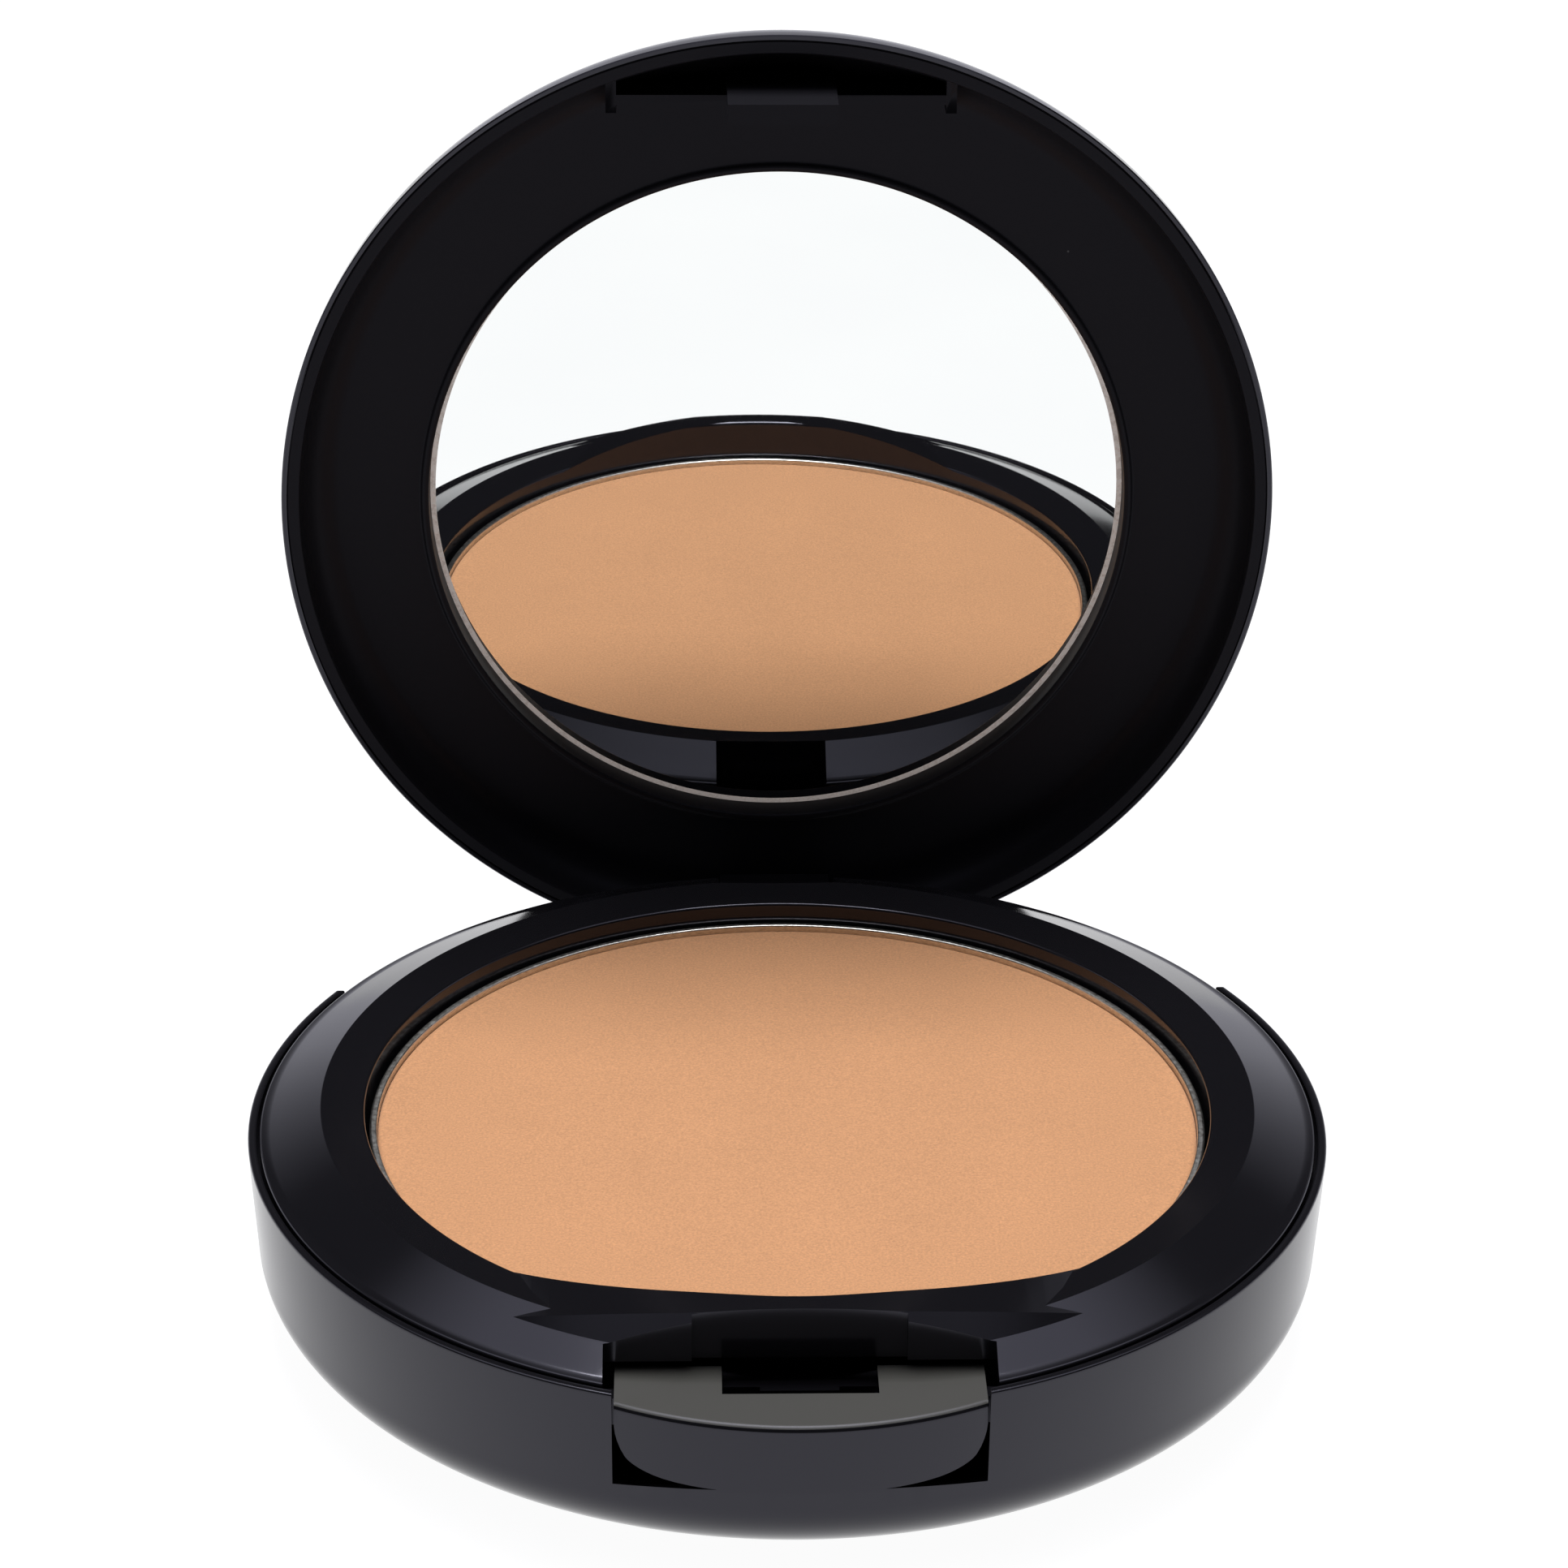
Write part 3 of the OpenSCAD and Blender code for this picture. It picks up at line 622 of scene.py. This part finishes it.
class COMPACT_OT_pan(bpy.types.Operator):
    """Models the aluminium pan with its rolled rim"""
    bl_idname = "compact.pan"
    bl_label = "Pan"

    def execute(self, context):
        rim, low, top = PAN_R / MM, PAN_LOW / MM, PAN_TOP / MM
        outer, sheet = rim - 0.15, 0.4
        inner = outer - sheet
        outline = [(0, low)] + arc((outer - 0.6, low + 0.6), (0.6, 0.6), -90, 0, 6)
        outline += [(outer, top - 0.45)]
        outline += arc((rim - 0.2, top - 0.2), (0.2, 0.2), -30, 90, 8)
        outline += arc((inner + 0.14, top - 0.14), (0.14, 0.14), 90, 180, 5)
        outline += arc((inner - 0.5, low + sheet + 0.5), (0.5, 0.5), 0, -90, 6)
        outline += [(0, low + sheet)]
        pan = smooth(turned("pan_godet", outline))
        dress(pan, pressed_aluminium())
        finish_piece(pan, "tray", ["pan"])
        return {"FINISHED"}


class COMPACT_OT_powder(bpy.types.Operator):
    """Models the pressed powder, a little lower where it meets the pan"""
    bl_idname = "compact.powder"
    bl_label = "Pressed Powder"

    def execute(self, context):
        radius, low, top = POWDER_R / MM - 0.02, POWDER_LOW / MM + 0.01, POWDER_TOP / MM
        outline = [(0, low), (radius - 0.6, low), (radius, low + 0.6), (radius, top - 0.5)]
        outline += arc((radius - 0.45, top - 0.5), (0.45, 0.36), 8, 80, 5)
        # the face rises very slightly towards the middle, in rings fine enough for the grain
        rings = 12
        outline += [((radius - 0.9) * (1 - i / rings), top - 0.12 * (1 - i / rings) ** 6) for i in range(rings + 1)]
        powder = smooth(turned("powder_face", outline), 60)
        dress(powder, pressed_powder())
        finish_piece(powder, "tray", ["powder_cake"])
        return {"FINISHED"}


def above_floor(name, half, low, high):
    """All that lies above the sloping floor of the button's pocket, out to a half width."""
    slope = tan(radians(20))
    front, rear = -BUTTON_FRONT - 10 * MM, -0.7 * CASE_R
    return prism(name, [(-half, front, low + slope * 10 * MM), (-half, rear, low - slope * (BUTTON_FRONT + rear)),
                        (-half, rear, high), (-half, front, high)], (2 * half, 0, 0))


class COMPACT_OT_button(bpy.types.Operator):
    """Models the push button with its notch, catch bar and tabs"""
    bl_idname = "compact.button"
    bl_label = "Push Button"

    def execute(self, context):
        top, half = BUTTON_TOP, BUTTON_HALF
        arc_r, skin, plate = 27 * MM, 1.2 * MM, 1.0 * MM
        centre_y = arc_r - BUTTON_FRONT
        bar_rear, bar_front, bar_low, bar_top = -32.4 * MM, -33.2 * MM, top - 2.1 * MM, top - 1.1 * MM
        body = rod("button_cap", arc_r, (0, centre_y, -top), (0, centre_y, top), sides=720)
        soften(body, 0.45 * MM, angle=60, segments=6)
        cut(body, rod("hollow", arc_r - skin, (0, centre_y, -2 * top), (0, centre_y, top - plate), sides=720))
        for side in (-1, 1):
            x = sorted((side * (half - 1.2 * MM), side * (half + 0.5 * MM)))
            join(body, cube("arm", (x[0], -36.4 * MM, BUTTON_LOW - 3 * MM), (x[1], -33.9 * MM, top - 0.3 * MM)))
        combine(body, self.face(bar_rear), "INTERSECT")
        combine(body, above_floor("under", CASE_R, BUTTON_LOW, 2 * top), "INTERSECT")
        tab_low = BUTTON_LOW + 2.3 * MM
        notch, tongue = 5.1 * MM, 2.6 * MM
        for side in (-1, 1):
            x = sorted((side * (half - 1.2 * MM), side * (half + 1.2 * MM)))
            join(body, cube("tab", (x[0], -35.05 * MM, tab_low), (x[1], -33.9 * MM, tab_low + 2 * MM)))
        cut(body, cube("notch", (-notch, -35.65 * MM, bar_low - MM), (notch, 0, 2 * top)))
        bar = cube("catch_bar", (-notch - 1.4 * MM, bar_front, bar_low), (notch + 1.4 * MM, bar_rear, bar_top))
        join(bar, cube("tongue", (-tongue, -33.65 * MM, bar_low), (tongue, bar_front + 0.1 * MM, bar_top)))
        for side in (-1, 1):
            x = sorted((side * notch, side * (notch + 1.4 * MM)))
            join(bar, cube("riser", (x[0], bar_front, bar_low), (x[1], bar_rear - 0.02 * MM, top - 0.4 * MM)))
        join(body, bar)
        soften(body, 0.1 * MM)
        smooth(body, 35)
        # the front and the catch bar keep the dark gloss of the case, and only the upward faces of the top plate get
        # the lighter satin colour: a real spark-eroded top, made lighter as painted light, while the darker front and
        # the catch bar and tongue low in the notch are painted shade
        dress(body, moulded_abs("button_gloss_and_painted_shade_abs", colours().case, 0.14))
        body.data.materials.append(satin_abs("satin_button_top_painted_light", colours().button, 0.4, 0.3))
        # lighter colour only on upward faces at the top plane: painted light on the top; the lower catch bar stays
        # dark as painted shade
        for face in body.data.polygons:
            if face.normal.z > 0.72 and face.center.z > top - 0.3 * MM:
                face.material_index = 1
        finish_piece(body, "button", ["push_button"])
        return {"FINISHED"}

    def face(self, rear):
        """The button's front outline, drawn in at its lower corners: how far in, and how far up."""
        corner = ((0, 3.4), (0.06, 2.85), (0.2, 2.3), (0.41, 1.75), (0.7, 1.25), (0.92, 1.03), (1.2, 0.84),
                  (1.6, 0.64), (2, 0.49), (2.5, 0.34), (3.1, 0.22), (4, 0.11), (4.9, 0.05), (5.8, 0.01), (6.6, 0))
        right = [(BUTTON_HALF / MM - x, BUTTON_LOW / MM + z) for x, z in corner]
        right.append((right[-1][0], BUTTON_LOW / MM - 3))
        right.insert(0, (BUTTON_HALF / MM, BUTTON_TOP / MM + 1))
        outline = right + [(-x, z) for x, z in reversed(right)]
        return prism("face", [(x * MM, -2 * CASE_R, z * MM) for x, z in outline], (0, 2 * CASE_R + rear, 0))


class COMPACT_OT_lid(bpy.types.Operator):
    """Models the domed lid shell"""
    bl_idname = "compact.lid"
    bl_label = "Lid Shell"

    def execute(self, context):
        radius, low = LID_R / MM, RIM_Z / MM + 0.25
        height, wall, lip, step = LID_H, 1.0, 0.4, 0.8
        outline = list(reversed(dome(radius, low, height, 48)))[:-1]
        outline += [(radius, low + 0.1), (radius - 0.1, low), (radius - lip + 0.05, low), (radius - lip, low + 0.05),
                    (radius - lip, low + step), (radius - wall, low + step)]
        outline += [point for point in dome(radius - wall, low, height - wall, 32) if point[1] > low + step + 0.1]
        outline[0], outline[-1] = (0, low + height), (0, low + height - wall)
        lid = smooth(turned("lid_dome", outline))
        turn_open(lid)
        dress(lid, moulded_abs("lid_gloss_abs", colours().case, 0.1))
        finish_piece(lid, "lid", ["lid_shell"])
        return {"FINISHED"}


class COMPACT_OT_lid_frame(bpy.types.Operator):
    """Models the satin inner frame of the lid with its hook pocket"""
    bl_idname = "compact.lid_frame"
    bl_label = "Lid Frame"

    def execute(self, context):
        low = RIM_Z / MM + 0.25
        flange, ring, cove, thick = LID_FRAME_R / MM, low + 3.7, 2.7, 1.1
        rim = flange - 0.6
        flat = rim - cove - 0.4
        mirror = MIRROR_R
        back = low + 5.7 + 1.05 + 0.15
        outline = [(0, back), (mirror + 0.3, back), (mirror + 0.3, low + 5.7), (mirror, low + 5.7), (mirror, ring - 0.1)]
        outline += arc((mirror + 0.3, ring - 0.1), (0.3, 0.22), 180, 330, 8)
        outline += arc((mirror + 0.82, ring - 0.1), (0.2, 0.1), 170, 90, 3)
        outline += [(flat - 1.2, ring)]
        outline += [(flat + cove * sin(radians(t)), ring - (ring - low - 0.25) * (1 - cos(radians(t))))
                    for t in range(0, 95, 6)]
        outline += [(rim - 0.3, low + 0.05), (flange - 0.08, low + 0.05), (flange, low + 0.13), (flange, low + 0.7),
                    (rim - 0.1, low + 0.7), (rim - 0.95, ring - 0.4), (flat + 0.5, ring + thick),
                    (mirror + 2, ring + thick), (mirror + 2, back + 0.3), (mirror + 1.6, back + 0.7), (0, back + 0.7)]
        body = turned("lid_liner", outline)
        # the mirror's well and its bead sit a little nearer the hinge
        for vertex in body.data.vertices:
            if vertex.co.xy.length < (mirror + 1.1) * MM:
                vertex.co.y += MIRROR_SHIFT
        self.hook_pocket(body, low, ring, rim)
        self.hinge_arm(body, ring)
        soften(body, 0.1 * MM)
        smooth(body, 35)
        turn_open(body)
        dress(body, satin_abs("satin_lid_abs", colours().frame, 0.42, 0.1))
        finish_piece(body, "lid", ["lid_frame"])
        return {"FINISHED"}

    def hook_pocket(self, body, low, ring, rim):
        """The pocket at the front, its low walls, and the hook that latches the lid."""
        half, wall, edge, bar = 12.4, 0.8, low + 1.35, 33.9
        tip, nose_top, blade, nose = 10.3, 10.9, (-34.8, -33.9), -33.25
        hole = rod("pocket", (rim - 1.15) * MM, (0, 0, (low - 3) * MM), (0, 0, (ring + 3) * MM), sides=256)
        combine(hole, cube("pocket_span", (-half * MM, -rim * MM, (low - 3) * MM), (half * MM, -bar * MM, (ring + 3) * MM)), "INTERSECT")
        cut(hole, cube("hook_root", (-4.1 * MM, blade[0] * MM, 0), (4.1 * MM, 0, (ring + 4) * MM)))
        cut(body, hole)
        walls = cube("bar", (-(half + 0.1) * MM, -bar * MM, edge * MM), ((half + 0.1) * MM, -(bar - 0.75) * MM, (ring + 0.2) * MM))
        for side in (-1, 1):
            x = sorted((side * half * MM, side * (half + wall) * MM))
            join(walls, cube("side_wall", (x[0], -rim * MM, edge * MM), (x[1], -(bar - 1.4) * MM, (ring + 0.2) * MM)))
        combine(walls, self.room(low, rim), "INTERSECT")
        join(body, walls)
        hook = cube("hook", (-4.1 * MM, blade[0] * MM, tip * MM), (4.1 * MM, blade[1] * MM, (ring + 0.9) * MM))
        join(hook, cube("nose", (-4.1 * MM, -34.5 * MM, tip * MM), (4.1 * MM, nose * MM, nose_top * MM)))
        join(body, hook)

    def room(self, low, rim):
        """The room inside the dome."""
        inside = dome(rim, low, LID_H - 1.05, 32)
        return turned("dome_room", [(0, 0), (rim, 0)] + inside[:-1] + [(0, inside[-1][1])])

    def hinge_arm(self, body, ring):
        half, knuckle = 4.5 * MM, 1.9 * MM
        arm = rod("arm_knuckle", knuckle, (-half, HINGE.y, HINGE.z), (half, HINGE.y, HINGE.z))
        join(arm, cube("arm_web", (-half, HINGE.y - knuckle + 0.1 * MM, HINGE.z), (half, HINGE.y + knuckle - 0.1 * MM, (ring + 0.3) * MM)))
        combine(arm, self.room(ring - 3.7, LID_FRAME_R / MM - 0.6), "INTERSECT")
        cut(arm, rod("arm_bore", 0.85 * MM, (-2 * half, HINGE.y, HINGE.z), (2 * half, HINGE.y, HINGE.z)))
        join(body, arm)


class COMPACT_OT_mirror(bpy.types.Operator):
    """Models the mirror glass with its ground edge"""
    bl_idname = "compact.mirror"
    bl_label = "Mirror"

    def execute(self, context):
        front = RIM_Z / MM + 0.25 + 5.7
        radius, thick, seam, deep = MIRROR_R + 0.1, 1.05, 0.52, 0.12
        outline = [(0, front), (radius - seam, front), (radius - 0.04, front + deep), (radius, front + deep + 0.06),
                   (radius, front + thick - 0.05), (radius - 0.05, front + thick), (0, front + thick)]
        glass = turned("mirror_glass", outline)
        for vertex in glass.data.vertices:
            vertex.co.y += MIRROR_SHIFT
        only(glass)
        bpy.ops.object.shade_flat()
        dress(glass, silvered_glass())
        glass.data.materials.append(ground_glass_edge_painted_glow())
        for face in glass.data.polygons:
            if abs(face.normal.z) < 0.995:
                face.material_index = 1
        turn_open(glass)
        finish_piece(glass, "lid", ["mirror"])
        return {"FINISHED"}


class COMPACT_OT_sponge(bpy.types.Operator):
    """Models the foam applicator under the tray"""
    bl_idname = "compact.sponge"
    bl_label = "Sponge"

    def execute(self, context):
        low, high = SPONGE_LOW / MM, SPONGE_TOP / MM
        swell = 0.5
        radius = SPONGE_R / MM - swell
        outline = [(0, low + swell)]
        outline += arc((radius - 2.2, low + swell + 2.2), (2.2, 2.2), -90, 0, 6)
        outline += arc((radius - 2.2, high - swell - 2.2), (2.2, 2.2), 0, 90, 6)
        outline += [(0, high - swell)]
        sponge = turned("sponge_puff", outline)
        self.puff_up(sponge, swell * MM)
        smooth(sponge, 180)
        dress(sponge, foam_rubber())
        finish_piece(sponge, "case", ["sponge"])
        return {"FINISHED"}

    def puff_up(self, sponge, most):
        """Lets air pressure round the foam's faces, then holds it inside its own space."""
        only(sponge)
        remesh = sponge.modifiers.new("even mesh", "REMESH")
        remesh.mode = "VOXEL"
        remesh.voxel_size = 1.2 * MM
        bpy.ops.object.modifier_apply(modifier=remesh.name)
        start = [v.co.copy() for v in sponge.data.vertices]
        cloth = sponge.modifiers.new("foam", "CLOTH")
        cloth.settings.use_pressure = True
        cloth.settings.uniform_pressure_force = sizes().sponge_pressure
        cloth.settings.effector_weights.gravity = 0
        cloth.settings.tension_stiffness = cloth.settings.compression_stiffness = 30
        scene = bpy.context.scene
        for number in range(1, 13):
            scene.frame_set(number)
        bpy.ops.object.modifier_apply(modifier=cloth.name)
        scene.frame_set(1)
        for vertex, begin in zip(sponge.data.vertices, start):
            step = vertex.co - begin
            if step.length > most * 0.9:
                vertex.co = begin + step.normalized() * most * 0.9


class COMPACT_OT_springs(bpy.types.Operator):
    """Models the two coil springs behind the button at one length; the real ones shorten as it goes in"""
    bl_idname = "compact.springs"
    bl_label = "Button Springs"

    def execute(self, context):
        steel, wire, turns, travel = drawn_steel(), 0.15 * MM, 3, 0.75 * MM
        for side in ("left", "right"):
            node = "button_spring_" + side
            low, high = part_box(node)
            middle, length = (low + high) / 2, high.y - low.y
            bpy.ops.object.select_all(action="DESELECT")
            bpy.ops.mesh.primitive_circle_add(
                vertices=10, radius=wire, location=((high.x - low.x) / 2 - wire, 0, 0), rotation=(pi / 2, 0, 0))
            coil = settle(bpy.context.object)
            coil.name = "coil_" + side
            screw = coil.modifiers.new("turns", "SCREW")
            screw.iterations, screw.steps, screw.render_steps = turns, 36, 36
            screw.screw_offset = (length - 2 * wire) / turns
            bpy.ops.object.modifier_apply(modifier=screw.name)
            bpy.ops.object.mode_set(mode="EDIT")
            bpy.ops.mesh.select_all(action="SELECT")
            bpy.ops.mesh.fill_holes(sides=0)
            seal()
            coil.rotation_euler = (pi / 2, 0, 0)
            coil.location = (middle.x, high.y - wire, middle.z)
            smooth(settle(coil), 60)
            dress(coil, steel)
            finish_piece(coil, "case", [node])
            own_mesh(coil)
        return {"FINISHED"}


class COMPACT_OT_small_parts(bpy.types.Operator):
    """Gives the pin, label and adhesives their materials"""
    bl_idname = "compact.small_parts"
    bl_label = "Small Parts"

    def execute(self, context):
        glue = clear_adhesive()
        for node, material in (("hinge_pin", drawn_steel()), ("pan_adhesive", glue), ("mirror_adhesive", glue),
                               ("base_label", film_label())):
            dress(frame["nodes"][node], material)
        return {"FINISHED"}


# ------------------------------------------------------------------ stage

class COMPACT_OT_stage(bpy.types.Operator):
    """Sets up the floor, the soft light and the camera"""
    bl_idname = "compact.stage"
    bl_label = "Stage"

    def execute(self, context):
        self.floor()
        self.lights()
        self.camera()
        return {"FINISHED"}

    def floor(self):
        bpy.ops.object.select_all(action="DESELECT")
        bpy.ops.mesh.primitive_plane_add(size=4)
        floor = bpy.context.object
        floor.name = "floor"
        # a light table: opal acrylic lit evenly from below
        opal, tree, shader = new_material(
            "opal_acrylic", Roughness=0.6, Specular_IOR_Level=0.1, Emission_Color=linear("#ffffff"), Emission_Strength=0.96)
        place = surface_place(tree)
        cloud = add_node(tree, "ShaderNodeTexNoise", inputs={"Scale": 1 / (40 * MM), "Detail": 3.0}, links={"Vector": (place, 0)})
        tint = colour_mix(tree, linear("#56565a"), linear("#5e5e60"), (cloud, 0))
        tree.links.new(tint.outputs[0], shader.inputs["Base Color"])
        dress(floor, opal)

    def lights(self):
        world = bpy.data.worlds.new("studio")
        bpy.context.scene.world = world
        world.use_nodes = True
        tree, background = world.node_tree, world.node_tree.nodes["Background"]
        towards = add_node(tree, "ShaderNodeSeparateXYZ", links={0: (add_node(tree, "ShaderNodeTexCoord"), "Generated")})

        def fade(axis, start, end, low, high):
            return add_node(tree, "ShaderNodeMapRange", links={"Value": (towards, axis)},
                            inputs={"From Min": start, "From Max": end, "To Min": low, "To Max": high})

        # low white walls behind, a dark room above them and in front, and a pale ceiling
        walls = add_node(tree, "ShaderNodeMath", {"operation": "MULTIPLY"},
                         links={0: (fade("Z", 0.12, 0.5, 0.9, 0.0), 0), 1: (fade("Y", -0.3, 0.1, 0.0, 1.0), 0)})
        ceiling = add_node(tree, "ShaderNodeMath", {"operation": "MULTIPLY"},
                           links={0: (fade("Z", 0.72, 0.86, 0.02, 1.25), 0), 1: (fade("Y", -0.45, -0.15, 0.25, 1.0), 0)})
        room = add_node(tree, "ShaderNodeMath", {"operation": "ADD"}, links={0: (walls, 0), 1: (ceiling, 0)})
        background.inputs["Color"].default_value = linear("#f4f4ff")
        tree.links.new(room.outputs[0], background.inputs["Strength"])
        bpy.context.scene.view_settings.view_transform = "Standard"
        # name, place, size, power in watts
        for name, place, size, power in (
                ("top_softbox", (0.0, 0.16, 0.8), 0.36, 6.5),):
            bpy.ops.object.light_add(type="AREA", location=place)
            lamp = bpy.context.object
            lamp.name = name
            lamp.data.size = size
            lamp.data.energy = power
            lamp.rotation_euler = (Vector((0, 0, 0.03)) - lamp.location).to_track_quat("-Z", "Y").to_euler()

    def camera(self):
        """A 91 mm lens, 25 degrees above the level, a touch left of the middle."""
        place = Vector((-7.4, -251.9, RIM_Z / MM + 143.3)) * MM
        pitch, yaw, roll = radians(-24.95), radians(1.58), radians(0.5)
        forward = Vector((sin(yaw) * cos(pitch), cos(yaw) * cos(pitch), sin(pitch)))
        bpy.ops.object.camera_add(location=place)
        camera = bpy.context.object
        turn = forward.to_track_quat("-Z", "Y").to_matrix().to_4x4() @ Matrix.Rotation(roll, 4, "Z")
        camera.matrix_world = Matrix.Translation(place) @ turn
        camera.data.sensor_width = 36
        camera.data.lens = 91.1
        camera.data.clip_start = 0.01
        bpy.context.scene.camera = camera


# ------------------------------------------------------------------ panel and registration

MAKERS = (COMPACT_OT_stage, COMPACT_OT_case, COMPACT_OT_tray, COMPACT_OT_pan, COMPACT_OT_powder, COMPACT_OT_button,
          COMPACT_OT_lid, COMPACT_OT_lid_frame, COMPACT_OT_mirror, COMPACT_OT_sponge, COMPACT_OT_springs,
          COMPACT_OT_small_parts)


class COMPACT_PT_panel(bpy.types.Panel):
    """Sizes, colours and one button for each group of pieces"""
    bl_label = "Powder Compact"
    bl_space_type = "VIEW_3D"
    bl_region_type = "UI"
    bl_category = "Compact"

    def draw(self, context):
        for group in (context.scene.compact_sizes, context.scene.compact_colours):
            for name in group.__annotations__:
                self.layout.prop(group, name)
        for maker in MAKERS:
            self.layout.operator(maker.bl_idname)


CLASSES = (CompactSizes, CompactColours) + MAKERS + (COMPACT_PT_panel,)


def register():
    for item in CLASSES:
        bpy.utils.register_class(item)
    bpy.types.Scene.compact_sizes = PointerProperty(type=CompactSizes)
    bpy.types.Scene.compact_colours = PointerProperty(type=CompactColours)


def unregister():
    del bpy.types.Scene.compact_colours
    del bpy.types.Scene.compact_sizes
    for item in reversed(CLASSES):
        bpy.utils.unregister_class(item)


def main():
    register()
    for maker in MAKERS:
        group, name = maker.bl_idname.split(".")
        getattr(getattr(bpy.ops, group), name)()


if __name__ == "__main__":
    main()
